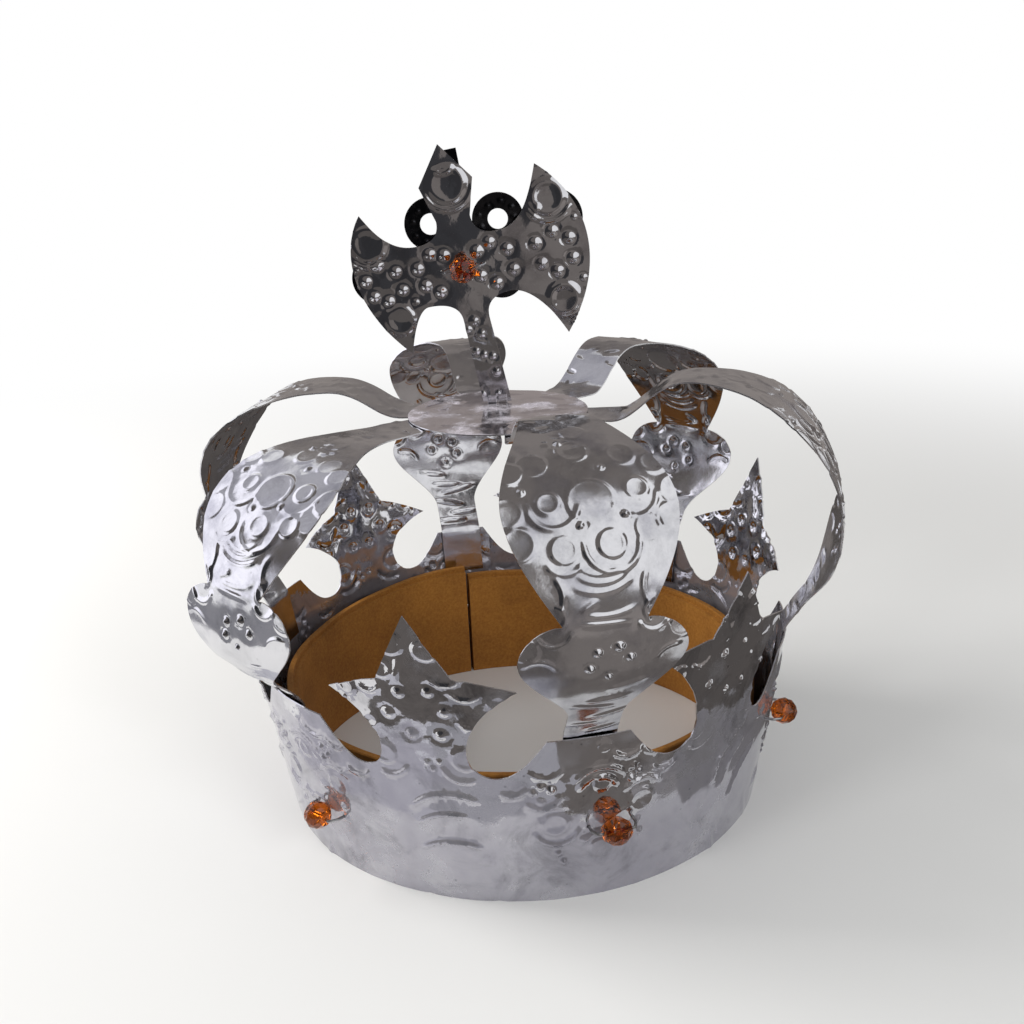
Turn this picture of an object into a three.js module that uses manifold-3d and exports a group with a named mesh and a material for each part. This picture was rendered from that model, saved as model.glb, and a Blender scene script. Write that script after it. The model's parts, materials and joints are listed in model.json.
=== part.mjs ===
// Beaten sheet-metal crown: a flared head band with star points, six arched straps,
// a hub disc with a double axe on top, glass beads on wires and a board liner.
// Millimetres, +Z up. The origin is the centre of the band's bottom rim, the front is -Y.
import * as THREE from 'three';
import { mergeVertices } from 'three/addons/utils/BufferGeometryUtils.js';
import Module from 'manifold-3d';

const wasm = await Module();
wasm.setup();

// General sizes
const sheet = 0.5; // thickness of the crown's sheet metal
const gap = 0.3; // clearance between pieces that lie on each other
const overrun = 8; // how far a cutting form passes the surface that it cuts
const fullTurn = 360;

// Head band: a flared ring whose top edge is cut into stars, notches and strap seats
const bandRimRadius = 90; // outside, at the bottom rim
const bandFlareShare = 0.16; // outward growth of the radius for each unit of height
const bandSegments = 96;
const seatHeight = 64.5; // level edge behind which a strap goes down
const notchHeight = 51; // bottom of the round notches
const starApexHeight = 109.5;
const starArmpitHeight = 85.5; // inner corner between the apex and a side tip
const starArmpitHalfWidth = 12.5;
const starTipHeight = 78.5;
const starTipHalfWidth = 32;
const starTipRise = 5; // how much higher the most raised hand-cut tips stand
const starNeckHeight = 60.5;
const starNeckHalfWidth = 14.3;
const notchReach = 39.5; // from a star's middle to the far end of its notch
const notchSeatMargin = 2; // level edge left beside a strap before a notch begins
const notchBottomShare = 0.33; // place of a notch's lowest point between neck and seat
const outlineSteps = 6; // steps in each curve of the band's cut edge
const cutterReach = 170; // outer radius of the forms that cut the band's edge
const cutterLap = 0.5; // degrees by which neighbouring cutting forms lap over a star's apex

// The six stars, hand-cut: azimuth, and how far the left and right tips are raised
const stars = [
  { azimuth: -18.5, leftRiseShare: 0, rightRiseShare: 1 },
  { azimuth: 42, leftRiseShare: 1.7, rightRiseShare: 1 },
  { azimuth: 112.5, leftRiseShare: -1, rightRiseShare: -0.4 },
  { azimuth: 167, leftRiseShare: 0, rightRiseShare: 0 },
  { azimuth: 221.5, leftRiseShare: -0.6, rightRiseShare: -0.6 },
  { azimuth: 279, leftRiseShare: 0, rightRiseShare: 0 },
];

// Straps: each is one sheet, from a foot inside the band over an arch to the hub
const footLength = 18.5; // length of the foot that is hidden inside the band
const bulgeRadius = 118.7;
const bulgeHeight = 106;
const crestRadius = 66;
const crestRise = 13.1; // how far a strap's crest stands above the hub
const landingRadius = 38; // from here inwards a strap lies level under the hub disc
const strapEndRadius = 20;
const turnRise = 20; // height above the band's edge over which a turned strap turns
const rootHandle = 11.8; // pulls of the arch's curve at its ends and at its turns
const bulgeLowerHandle = 18;
const bulgeUpperHandle = 28;
const crestOuterHandle = 34;
const crestInnerHandle = 14;
const landingHandle = 10;
const rootWidth = 17.4;
const earWidth = 51;
const neckWidth = 25;
const bellyWidth = 52;
const ribbonWidth = 20;
const strapEndWidth = 12;
const rootLength = 13; // these lengths run along the strap from the band's edge
const earLength = 40;
const neckLength = 51.5;
const bellyLength = 86;
const ribbonLength = 147;
const ribbonEaseShare = 1.35; // how early the belly narrows to the ribbon
const crossFlatShare = 0.75; // part of the strap over which its crosswise curve fades out
const crossSteps = 4;

// The six straps as they were set by hand: the foot's azimuth, the degrees by which the
// arch turns about its foot, and its own shares of the bulge's height, crest's rise and end radius
const straps = [
  { azimuth: 12, turn: 0, bulgeShare: 1, crestShare: 1, endShare: 1 },
  { azimuth: 77.5, turn: 0, bulgeShare: 1, crestShare: 1, endShare: 1 },
  { azimuth: 140, turn: 0, bulgeShare: 1, crestShare: 1, endShare: 1 },
  { azimuth: 194.3, turn: 0, bulgeShare: 1, crestShare: 1, endShare: 1 },
  { azimuth: 256, turn: 0, bulgeShare: 1, crestShare: 0.65, endShare: 1 },
  { azimuth: 308.5, turn: 10.8, bulgeShare: 0.88, crestShare: 0.05, endShare: 1.4 },
];

// Hub disc
const hubTopHeight = 144.4;
const hubRadius = 32.5;
const hubOffset = 4; // the disc sits this far to the left of the band's axis
const hubSegments = 24;

// Double axe on its stem: places are measured from the bead at its centre
const axeSheet = 0.8;
const axeLean = 9; // degrees to the left
const axeBeadHeight = 49.8; // bead above the hub
const axeBeadOffset = 10; // bead to the left of the stem's foot
const axeSetback = 12; // stem behind the middle of the hub
const spikeHeight = 43.1;
const spikeShoulderHeight = 30;
const spikeHalfWidth = 9.6;
const axeNeckHeight = 17.5;
const axeNeckHalfWidth = 6.1;
const scoopWidth = 15; // middle of the scoops beside the neck and the stem
const upperScoopHeight = 10.4;
const lowerScoopDepth = 11.4;
const stemTopDepth = 19;
const stemTopHalfWidth = 4.7;
const stemTopSway = 0.9;
const stemFootHalfWidth = 5.2;
const axeCurveSteps = 8;
const rightBlade = { reach: 45.6, middle: 1, tipOut: 31.7, tipUp: 30.2, heelOut: 32.8, heelDown: 30.4 };
const leftBlade = { reach: 38.9, middle: 6.5, tipOut: 32.4, tipUp: 24.8, heelOut: 24.5, heelDown: 26.8 };
const tongueWidth = 7; // the stem's tongue passes the hub and its two halves fold apart
const tongueSplit = 0.8;
const tongueFold = 4.5;
const tongueRoot = 3; // how far the tongue runs up into the stem

// Dark scroll plate behind the axe: places are measured from the bead too
const rearSheet = 0.8;
const rearSpacing = 1.6; // clear space between the two plates
const rearReach = 36; // half of the plate's width, which the shares below are taken of
const rearTabShares = { left: 0.01, right: 0.165, low: 0, high: 1.13 };
const rearBarShares = { left: -0.89, right: 1, low: -0.17, high: 0.28 };
const rearDiscShares = [
  { across: 0.43, up: 0.39, radius: 0.255, eye: 0.1 },
  { across: -0.23, up: 0.47, radius: 0.26, eye: 0.105 },
  { across: 0.98, up: 0.29, radius: 0.28, eye: 0 },
  { across: -0.86, up: 0.055, radius: 0.26, eye: 0 },
  { across: 0.36, up: -0.165, radius: 0.22, eye: 0 },
  { across: -0.39, up: -0.1, radius: 0.18, eye: 0 },
];

// Faceted glass beads, each turning on a wire staple
const beadRadius = 4.9;
const beadHalfLength = 4.5;
const beadFaceRadius = 2.4;
const beadShoulderRadius = 4.2;
const beadShoulderLength = 2.3;
const beadFacets = 10;
const beadWallClearance = 0.4; // bead to the surface behind it
const wireRadius = 0.5;
const boreClearance = 0.06;
const wireHoleClearance = 0.2;
const wireSpread = 7.6; // half the distance between a staple's legs
const bridgeHalfLength = 5.7; // half of the straight wire that the bead turns on
const wireFold = 4; // length of each leg's folded end
const wireBend = 1.1;
const wireSides = 6;
const wireSteps = 30;
// Each bead's azimuth, and its height as a share of the strap seats' height
const beadPlaces = [
  { azimuth: 16.5, heightShare: 0.455 },
  { azimuth: 69, heightShare: 0.575 },
  { azimuth: 134, heightShare: 0.45 },
  { azimuth: 199, heightShare: 0.45 },
  { azimuth: 250, heightShare: 0.465 },
  { azimuth: 314, heightShare: 0.355 },
];

// Board liner: an open ring with a butt seam, one end standing a little higher
const linerThickness = 4;
const linerHeight = 47;
const linerLift = 4.5;
const linerLiftSpan = 55; // degrees over which the lift dies away
const linerSeamAzimuth = 195;
const linerSeamGap = 1.4;
const linerSegments = 96;

const { lerp, smoothstep, degToRad, radToDeg } = THREE.MathUtils;

// Sizes that follow from the ones above
const bandRadius = (height) => bandRimRadius + bandFlareShare * height;
const beadStandOff = beadRadius + beadWallClearance;
const beadSeats = beadPlaces.map(({ azimuth, heightShare }) => ({ azimuth, height: seatHeight * heightShare }));
const wireHoleRadius = wireRadius + wireHoleClearance;
const strapLevel = hubTopHeight - sheet - gap - sheet / 2;
const axeFoot = new THREE.Vector3(-hubOffset, axeSetback, hubTopHeight);
const rearSetback = axeSheet / 2 + rearSpacing + rearSheet / 2;

// Materials
const finishes = {
  metal: { color: 0xb4b5ba, roughness: 0.24, metalness: 1 },
  darkMetal: { color: 0x15161a, roughness: 0.2, metalness: 1 },
  glass: { color: 0xb4480c, roughness: 0.08, metalness: 0 },
  wire: { color: 0x8e8f94, roughness: 0.35, metalness: 1 },
  board: { color: 0x8a5f2a, roughness: 0.9, metalness: 0 },
};

function piece(name, geometry, finish) {
  const mesh = new THREE.Mesh(geometry, new THREE.MeshStandardMaterial({ ...finish, flatShading: true }));
  mesh.name = name;
  return mesh;
}

// Closed geometry and solids

function bare(geometry) {
  const plain = geometry.index ? geometry.toNonIndexed() : geometry.clone();
  plain.deleteAttribute('normal');
  plain.deleteAttribute('uv');
  return mergeVertices(plain);
}

function solidOf(geometry) {
  const merged = bare(geometry);
  const vertProperties = merged.attributes.position.array;
  const triVerts = new Uint32Array(merged.index.array);
  return new wasm.Manifold(new wasm.Mesh({ numProp: 3, vertProperties, triVerts }));
}

function geometryOf(solid) {
  const { vertProperties, triVerts } = solid.getMesh();
  const geometry = new THREE.BufferGeometry();
  geometry.setAttribute('position', new THREE.BufferAttribute(vertProperties, 3));
  geometry.setIndex(new THREE.BufferAttribute(triVerts, 1));
  return geometry;
}

function indexed(points, triangles) {
  const geometry = new THREE.BufferGeometry().setFromPoints(points);
  geometry.setIndex(triangles.flat());
  return geometry;
}

// Joins rings of points, each in the same order, and closes both ends. A ring runs along
// one side of a flat section and back along the other, so its ends close as strips.
function loft(rings) {
  const count = rings[0].length;
  const at = (ring, point) => ring * count + (point % count);
  const triangles = [];
  for (let ring = 0; ring + 1 < rings.length; ring += 1) {
    for (let point = 0; point < count; point += 1) {
      const corners = [at(ring, point), at(ring, point + 1), at(ring + 1, point + 1), at(ring + 1, point)];
      triangles.push([corners[0], corners[1], corners[2]], [corners[0], corners[2], corners[3]]);
    }
  }
  for (let point = 0; point + 1 < count / 2; point += 1) {
    const across = count - 1 - point;
    const last = rings.length - 1;
    const start = [at(0, point), at(0, across), at(0, across - 1), at(0, point + 1)];
    const end = [at(last, point + 1), at(last, across - 1), at(last, across), at(last, point)];
    for (const corners of [start, end]) {
      triangles.push([corners[0], corners[1], corners[2]], [corners[0], corners[2], corners[3]]);
    }
  }
  return indexed(rings.flat(), triangles);
}

// A ring of revolution about +Z from a closed profile of [radius, height] points
function revolved(profile, segments) {
  const points = [...profile, profile[0]].map(([radius, height]) => new THREE.Vector2(radius, height));
  return new THREE.LatheGeometry(points, segments).rotateX(Math.PI / 2);
}

// A plate drawn as [across, up], standing in the XZ plane with its middle at y = 0
function standingPlate(shape, thickness, curveSegments) {
  const plate = new THREE.ExtrudeGeometry(shape, { depth: thickness, bevelEnabled: false, curveSegments });
  return plate.translate(0, 0, -thickness / 2).rotateX(Math.PI / 2);
}

// Head band

// One side of a star from its apex down to its notch and up to the seat's level edge
function starSide(star, side, reach) {
  const rise = starTipRise * (side < 0 ? star.leftRiseShare : star.rightRiseShare);
  const point = (across, height) => new THREE.Vector2(across, height);
  const bottom = lerp(starNeckHalfWidth, reach, notchBottomShare);
  const tip = point(starTipHalfWidth, starTipHeight + rise);
  const armpit = point(starArmpitHalfWidth, starArmpitHeight + rise / 2);
  const neck = point(starNeckHalfWidth, starNeckHeight);
  const dip = point(bottom, notchHeight);
  const seat = point(reach, seatHeight);
  const curves = [
    new THREE.QuadraticBezierCurve(armpit, point(lerp(armpit.x, tip.x, 0.4), lerp(armpit.y, tip.y, 0.25)), tip),
    new THREE.CubicBezierCurve(
      tip,
      point(lerp(neck.x, tip.x, 0.72), lerp(neck.y, tip.y, 0.92)),
      point(neck.x, lerp(neck.y, tip.y, 0.5)),
      neck,
    ),
    new THREE.CubicBezierCurve(
      neck,
      point(neck.x, lerp(neck.y, dip.y, 0.6)),
      point(lerp(neck.x, dip.x, 0.4), dip.y),
      dip,
    ),
    new THREE.CubicBezierCurve(
      dip,
      point(lerp(dip.x, seat.x, 0.38), dip.y),
      point(lerp(dip.x, seat.x, 0.68), lerp(dip.y, seat.y, 0.48)),
      seat,
    ),
  ];
  const drawn = [point(0, starApexHeight), armpit];
  for (const curve of curves) drawn.push(...curve.getPoints(outlineSteps).slice(1));
  return drawn.map(({ x, y }) => ({
    azimuth: star.azimuth + side * radToDeg(x / bandRadius(y)),
    height: y,
  }));
}

// How far a notch may reach from its star before it meets the strap's seat
function reachTowards(star, strapAzimuth) {
  const turn = Math.abs(strapAzimuth - star.azimuth);
  const room = degToRad(turn) * bandRadius(seatHeight);
  return Math.min(notchReach, room - rootWidth / 2 - notchSeatMargin);
}

// A cutting form that runs straight out from the axis over an outline of azimuths and heights
function radialCutter(outline) {
  const contour = outline.map(({ azimuth, height }) => new THREE.Vector2(degToRad(azimuth) * bandRimRadius, height));
  const cap = THREE.ShapeUtils.triangulateShape(contour, []);
  const ring = (radius) =>
    outline.map(({ azimuth, height }) => {
      const turn = degToRad(azimuth);
      return new THREE.Vector3(radius * Math.sin(turn), -radius * Math.cos(turn), height);
    });
  const count = outline.length;
  const triangles = cap.map(([a, b, c]) => [a, c, b]);
  triangles.push(...cap.map((corner) => corner.map((index) => index + count)));
  const forwards = THREE.ShapeUtils.area(contour) > 0;
  for (let index = 0; index < count; index += 1) {
    const next = (index + 1) % count;
    const [from, to] = forwards ? [index, next] : [next, index];
    triangles.push([from, to, to + count], [from, to + count, from + count]);
  }
  return indexed([...ring(bandRimRadius - overrun), ...ring(cutterReach)], triangles);
}

// The open space between one star and the next, which holds two notches and a strap's seat
function gapCutter(index) {
  const star = stars[index];
  const wraps = index + 1 === stars.length;
  const following = stars[(index + 1) % stars.length];
  const next = { ...following, azimuth: following.azimuth + (wraps ? fullTurn : 0) };
  const strapAzimuth = straps.map(({ azimuth }) => azimuth + (azimuth < star.azimuth ? fullTurn : 0))
    .reduce((nearest, azimuth) => Math.min(nearest, azimuth));
  const down = starSide(star, 1, reachTowards(star, strapAzimuth));
  const up = starSide(next, -1, reachTowards(next, strapAzimuth)).reverse();
  const top = starApexHeight + overrun;
  return radialCutter([
    ...down,
    ...up,
    { azimuth: next.azimuth + cutterLap, height: top },
    { azimuth: star.azimuth - cutterLap, height: top },
  ]);
}

// Two holes side by side for a staple's legs, drilled towards +Y through a wall at y = 0
function wireHoles() {
  return [-wireSpread, wireSpread].map((across) =>
    new THREE.CylinderGeometry(wireHoleRadius, wireHoleRadius, 2 * overrun, wireSides).translate(across, 0, 0));
}

function headBand() {
  const blankHeight = starApexHeight + overrun / 2;
  const blank = [
    [bandRimRadius, 0],
    [bandRadius(blankHeight), blankHeight],
    [bandRadius(blankHeight) - sheet, blankHeight],
    [bandRimRadius - sheet, 0],
  ];
  let band = solidOf(revolved(blank, bandSegments));
  for (let index = 0; index < stars.length; index += 1) band = band.subtract(solidOf(gapCutter(index)));
  for (const { azimuth, height } of beadSeats) {
    for (const hole of wireHoles()) {
      const drilled = hole.translate(0, -bandRadius(height), height).rotateZ(degToRad(azimuth));
      band = band.subtract(solidOf(drilled));
    }
  }
  return geometryOf(band);
}

// Straps

// The middle line of a strap as [radius, height], from the foot's lower end to the hub
function strapSpine({ bulgeShare, crestShare, endShare }) {
  const footRadius = (height) => bandRadius(height) - sheet - gap - sheet / 2;
  const flare = new THREE.Vector2(bandFlareShare, 1).normalize();
  const foot = new THREE.Vector2(footRadius(seatHeight - footLength), seatHeight - footLength);
  const root = new THREE.Vector2(footRadius(seatHeight), seatHeight);
  const bulge = new THREE.Vector2(bulgeRadius, bulgeHeight * bulgeShare);
  const crest = new THREE.Vector2(crestRadius, hubTopHeight + crestRise * crestShare);
  const landing = new THREE.Vector2(landingRadius, strapLevel);
  const end = new THREE.Vector2(strapEndRadius * endShare, strapLevel);
  const lean = new THREE.Vector2(flare.y / 2, flare.y).normalize();
  const spine = new THREE.CurvePath();
  spine.arcLengthDivisions = 600;
  spine.add(new THREE.LineCurve(foot, root));
  spine.add(new THREE.CubicBezierCurve(
    root,
    root.clone().addScaledVector(lean, rootHandle),
    new THREE.Vector2(bulge.x, bulge.y - bulgeLowerHandle),
    bulge,
  ));
  spine.add(new THREE.CubicBezierCurve(
    bulge,
    new THREE.Vector2(bulge.x, bulge.y + bulgeUpperHandle),
    new THREE.Vector2(crest.x + crestOuterHandle, crest.y),
    crest,
  ));
  spine.add(new THREE.CubicBezierCurve(
    crest,
    new THREE.Vector2(crest.x - crestInnerHandle, crest.y),
    new THREE.Vector2(landingRadius + landingHandle, strapLevel),
    landing,
  ));
  spine.add(new THREE.LineCurve(landing, end));
  return spine;
}

// The strap's outline: its stations along the length, each with the width there
function strapStations(length, endRadius) {
  const landingLength = length - (landingRadius - endRadius);
  const span = (from, to, steps, width, spread = (share) => share) =>
    Array.from({ length: steps }, (_, step) => {
      const share = spread((step + 1) / steps);
      return { along: lerp(from, to, share), width: width(share) };
    });
  const rootEnd = footLength + rootLength;
  const ear = footLength + earLength;
  const neck = footLength + neckLength;
  const belly = footLength + bellyLength;
  const ribbon = footLength + ribbonLength;
  const rounding = (share) => Math.sin(share * Math.PI / 2);
  return [
    { along: 0, width: rootWidth },
    ...span(0, footLength, 2, () => rootWidth),
    ...span(footLength, rootEnd, 2, () => rootWidth),
    ...span(rootEnd, ear, 7, (share) => lerp(rootWidth, earWidth, smoothstep(share, 0, 1))),
    ...span(ear, neck, 7, (share) => lerp(neckWidth, earWidth, Math.sqrt(1 - share * share)), rounding),
    ...span(neck, belly, 8, (share) => lerp(neckWidth, bellyWidth, rounding(share))),
    ...span(belly, ribbon, 9, (share) =>
      lerp(bellyWidth, ribbonWidth, smoothstep(1 - (1 - share) ** ribbonEaseShare, 0, 1))),
    ...span(ribbon, landingLength, 4, () => ribbonWidth),
    ...span(landingLength, length, 3, (share) => lerp(ribbonWidth, strapEndWidth, share)),
  ];
}

// Turns a point of the strap about its foot, more and more above the band's edge
function turnedStrap(point, turn) {
  const share = smoothstep(point.z, seatHeight, seatHeight + turnRise);
  const foot = new THREE.Vector3(0, -bandRadius(seatHeight), 0);
  return point.sub(foot).applyAxisAngle(new THREE.Vector3(0, 0, 1), degToRad(turn * share)).add(foot);
}

function strap(setting) {
  const spine = strapSpine(setting);
  const length = spine.getLength();
  const rings = strapStations(length, strapEndRadius * setting.endShare).map(({ along, width }) => {
    const share = Math.min(along / length, 1);
    const middle = spine.getPointAt(share);
    const tangent = spine.getTangentAt(share);
    const outwards = new THREE.Vector2(tangent.y, -tangent.x);
    const crossCurve = Math.max(0, 1 - share / crossFlatShare) / bandRadius(seatHeight);
    const side = (offset) =>
      Array.from({ length: crossSteps + 1 }, (_, step) => {
        const across = width * (step / crossSteps - 0.5);
        const shift = offset - across * across * crossCurve / 2;
        const at = middle.clone().addScaledVector(outwards, shift);
        return turnedStrap(new THREE.Vector3(across, -at.x, at.y), setting.turn);
      });
    return [...side(sheet / 2), ...side(-sheet / 2).reverse()];
  });
  return loft(rings);
}

// Hub disc with the slot for the stem's tongue

function hubDisc() {
  const disc = new THREE.Shape().absarc(0, 0, hubRadius, 0, 2 * Math.PI);
  const slotHalfWidth = tongueWidth / 2 + gap;
  const slotHalfDepth = axeSheet / 2 + gap;
  const slot = new THREE.Path([
    new THREE.Vector2(-slotHalfWidth, axeSetback - slotHalfDepth),
    new THREE.Vector2(-slotHalfWidth, axeSetback + slotHalfDepth),
    new THREE.Vector2(slotHalfWidth, axeSetback + slotHalfDepth),
    new THREE.Vector2(slotHalfWidth, axeSetback - slotHalfDepth),
  ]);
  disc.holes.push(slot);
  const plate = new THREE.ExtrudeGeometry(disc, { depth: sheet, bevelEnabled: false, curveSegments: hubSegments });
  return plate.translate(-hubOffset, 0, hubTopHeight - sheet);
}

// Double axe

// Turns a place measured from the stem's foot into the leaning plate's own drawing
function inAxeDrawing(across, up) {
  const turn = degToRad(axeLean);
  const x = across + axeBeadOffset;
  const z = up - axeBeadHeight;
  return new THREE.Vector2(x * Math.cos(turn) + z * Math.sin(turn), z * Math.cos(turn) - x * Math.sin(turn));
}

// Moves a plate from the drawing to its leaning place above the stem's foot
function leaning(geometry) {
  return geometry.rotateY(-degToRad(axeLean)).translate(-axeBeadOffset, 0, axeBeadHeight);
}

// Draws one blade, from the neck round to the stem; side is 1 on the right
function drawBlade(shape, side, blade, reversed) {
  const { reach, middle, tipOut, tipUp, heelOut, heelDown } = blade;
  const at = (across, up) => new THREE.Vector2(side * across, up);
  const neck = at(axeNeckHalfWidth, axeNeckHeight);
  const upper = at(scoopWidth, upperScoopHeight);
  const tip = at(tipOut, tipUp);
  const edge = at(reach, middle);
  const heel = at(heelOut, -heelDown);
  const lower = at(scoopWidth, -lowerScoopDepth);
  const stem = at(stemTopHalfWidth + side * stemTopSway, -stemTopDepth);
  const curves = [
    new THREE.QuadraticBezierCurve(neck, at(axeNeckHalfWidth, upperScoopHeight), upper),
    new THREE.CubicBezierCurve(
      upper,
      at(lerp(scoopWidth, tipOut, 0.48), upperScoopHeight),
      at(lerp(scoopWidth, tipOut, 0.75), lerp(upperScoopHeight, tipUp, 0.43)),
      tip,
    ),
    new THREE.CubicBezierCurve(
      tip,
      at(lerp(tipOut, reach, 0.63), lerp(middle, tipUp, 0.74)),
      at(reach, lerp(middle, tipUp, 0.38)),
      edge,
    ),
    new THREE.CubicBezierCurve(
      edge,
      at(reach, lerp(middle, -heelDown, 0.38)),
      at(lerp(heelOut, reach, 0.56), lerp(middle, -heelDown, 0.73)),
      heel,
    ),
    new THREE.CubicBezierCurve(
      heel,
      at(lerp(scoopWidth, heelOut, 0.76), lerp(-lowerScoopDepth, -heelDown, 0.48)),
      at(lerp(scoopWidth, heelOut, 0.39), -lowerScoopDepth),
      lower,
    ),
    new THREE.QuadraticBezierCurve(lower, new THREE.Vector2(stem.x, -lowerScoopDepth), stem),
  ];
  const points = curves.flatMap((curve) => curve.getPoints(axeCurveSteps).slice(0, -1));
  points.push(stem);
  if (reversed) points.reverse();
  for (const point of points) shape.lineTo(point.x, point.y);
}

function axeShape() {
  const shape = new THREE.Shape();
  shape.moveTo(0, spikeHeight);
  shape.lineTo(spikeHalfWidth, spikeShoulderHeight);
  drawBlade(shape, 1, rightBlade, false);
  const footRight = inAxeDrawing(stemFootHalfWidth, gap);
  const footLeft = inAxeDrawing(-stemFootHalfWidth, gap);
  shape.lineTo(footRight.x, footRight.y);
  shape.lineTo(footLeft.x, footLeft.y);
  drawBlade(shape, -1, leftBlade, true);
  shape.lineTo(-spikeHalfWidth, spikeShoulderHeight);
  return shape;
}

// Half of the stem's tongue: it passes the hub's slot and folds flat below, towards side
function foldedTongue(side) {
  const top = gap + tongueRoot;
  const foldTop = -sheet - gap;
  const foldLow = foldTop - axeSheet;
  const half = axeSheet / 2;
  const section = new THREE.Shape();
  section.moveTo(side * half, top);
  section.lineTo(-side * half, top);
  section.lineTo(-side * half, foldTop);
  section.quadraticCurveTo(-side * half, foldLow, side * half, foldLow);
  section.lineTo(side * tongueFold, foldLow);
  section.lineTo(side * tongueFold, foldTop);
  section.lineTo(side * half, foldTop);
  const width = (tongueWidth - tongueSplit) / 2;
  const tab = new THREE.ExtrudeGeometry(section, { depth: width, bevelEnabled: false, curveSegments: 4 });
  tab.rotateX(Math.PI / 2).rotateZ(Math.PI / 2);
  return tab.translate(side < 0 ? -tongueWidth / 2 : tongueSplit / 2, 0, 0);
}

function axePlate() {
  let axe = solidOf(leaning(standingPlate(axeShape(), axeSheet, axeCurveSteps)));
  for (const hole of wireHoles()) axe = axe.subtract(solidOf(leaning(hole)));
  for (const side of [-1, 1]) axe = axe.add(solidOf(foldedTongue(side)));
  return geometryOf(axe).translate(axeFoot.x, axeFoot.y, axeFoot.z);
}

// Scroll plate behind the axe

function rearRectangle({ left, right, low, high }) {
  const corners = [[left, low], [right, low], [right, high], [left, high]];
  return new THREE.Shape(corners.map(([across, up]) => new THREE.Vector2(across * rearReach, up * rearReach)));
}

function rearRound({ across, up }, radius) {
  return new THREE.Shape().absarc(across * rearReach, up * rearReach, radius * rearReach, 0, 2 * Math.PI);
}

function rearPlate() {
  const plain = (shape) => solidOf(standingPlate(shape, rearSheet, axeCurveSteps));
  let plate = plain(rearRectangle(rearTabShares)).add(plain(rearRectangle(rearBarShares)));
  for (const disc of rearDiscShares) plate = plate.add(plain(rearRound(disc, disc.radius)));
  for (const disc of rearDiscShares.filter(({ eye }) => eye > 0)) {
    plate = plate.subtract(solidOf(standingPlate(rearRound(disc, disc.eye), 2 * overrun, axeCurveSteps)));
  }
  for (const hole of wireHoles()) plate = plate.subtract(solidOf(hole));
  return leaning(geometryOf(plate)).translate(axeFoot.x, axeFoot.y + rearSetback, axeFoot.z);
}

// Beads and their staples, drawn with the wall at y = 0 and the outside at -Y

// A round bead of flat facets: every second ring of corners is turned by half a facet
function bead() {
  const bore = (wireRadius + boreClearance) / Math.cos(Math.PI / beadFacets);
  const profile = [
    [bore, -beadHalfLength],
    [beadFaceRadius, -beadHalfLength],
    [beadShoulderRadius, -beadShoulderLength],
    [beadRadius, 0],
    [beadShoulderRadius, beadShoulderLength],
    [beadFaceRadius, beadHalfLength],
    [bore, beadHalfLength],
  ];
  const turnedRings = [2, 4];
  const body = revolved(profile, beadFacets);
  const positions = body.attributes.position;
  const corner = new THREE.Vector3();
  const axis = new THREE.Vector3(0, 0, 1);
  for (let index = 0; index < positions.count; index += 1) {
    if (!turnedRings.includes(index % (profile.length + 1))) continue;
    corner.fromBufferAttribute(positions, index).applyAxisAngle(axis, Math.PI / beadFacets);
    positions.setXYZ(index, corner.x, corner.y, corner.z);
  }
  return bare(body).rotateY(Math.PI / 2);
}

// A line through the points whose corners are rounded
function roundedPath(points, bend) {
  const path = new THREE.CurvePath();
  let from = points[0];
  for (let index = 1; index + 1 < points.length; index += 1) {
    const corner = points[index];
    const before = corner.clone().add(from.clone().sub(corner).setLength(bend));
    const after = corner.clone().add(points[index + 1].clone().sub(corner).setLength(bend));
    path.add(new THREE.LineCurve3(from, before));
    path.add(new THREE.QuadraticBezierCurve3(before, corner, after));
    from = after;
  }
  path.add(new THREE.LineCurve3(from, points.at(-1)));
  return path;
}

// A staple: its bridge carries the bead, its legs pass the wall and fold in behind it
function staple(foldDepth) {
  const leg = [
    new THREE.Vector3(-wireSpread + wireFold, foldDepth, 0),
    new THREE.Vector3(-wireSpread, foldDepth, 0),
    new THREE.Vector3(-wireSpread, -beadStandOff / 2, 0),
    new THREE.Vector3(-bridgeHalfLength - wireBend / 2, -beadStandOff, 0),
  ];
  const otherLeg = leg.map((point) => point.clone().setX(-point.x)).reverse();
  const corners = Array.from({ length: wireSides }, (_, index) => {
    const turn = 2 * Math.PI * index / wireSides;
    return new THREE.Vector2(wireRadius * Math.cos(turn), wireRadius * Math.sin(turn));
  });
  return new THREE.ExtrudeGeometry(new THREE.Shape(corners), {
    extrudePath: roundedPath([...leg, ...otherLeg], wireBend),
    steps: wireSteps,
    bevelEnabled: false,
  });
}

// How deep behind the band's face a staple folds, clear of the band's inward curve
function bandFoldDepth(height) {
  return sheet + wireSpread ** 2 / (2 * bandRadius(height)) + gap + wireRadius;
}

// Board liner

function liner() {
  const outerRadius = bandRimRadius - sheet - gap;
  const innerRadius = outerRadius - linerThickness;
  const halfGap = radToDeg(linerSeamGap / 2 / outerRadius);
  const start = linerSeamAzimuth + halfGap;
  const end = linerSeamAzimuth + fullTurn - halfGap;
  const rings = [];
  for (let segment = 0; segment <= linerSegments; segment += 1) {
    const azimuth = lerp(start, end, segment / linerSegments);
    const height = linerHeight + linerLift * (1 - smoothstep(azimuth - start, 0, linerLiftSpan));
    const turn = degToRad(azimuth);
    const corners = [[innerRadius, 0], [innerRadius, height], [outerRadius, height], [outerRadius, 0]];
    rings.push(corners.map(([radius, up]) =>
      new THREE.Vector3(radius * Math.sin(turn), -radius * Math.cos(turn), up)));
  }
  return loft(rings);
}

// Assembly

const crown = new THREE.Group();
crown.add(piece('head_band', headBand(), finishes.metal));
crown.add(piece('inner_liner', liner(), finishes.board));

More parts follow.
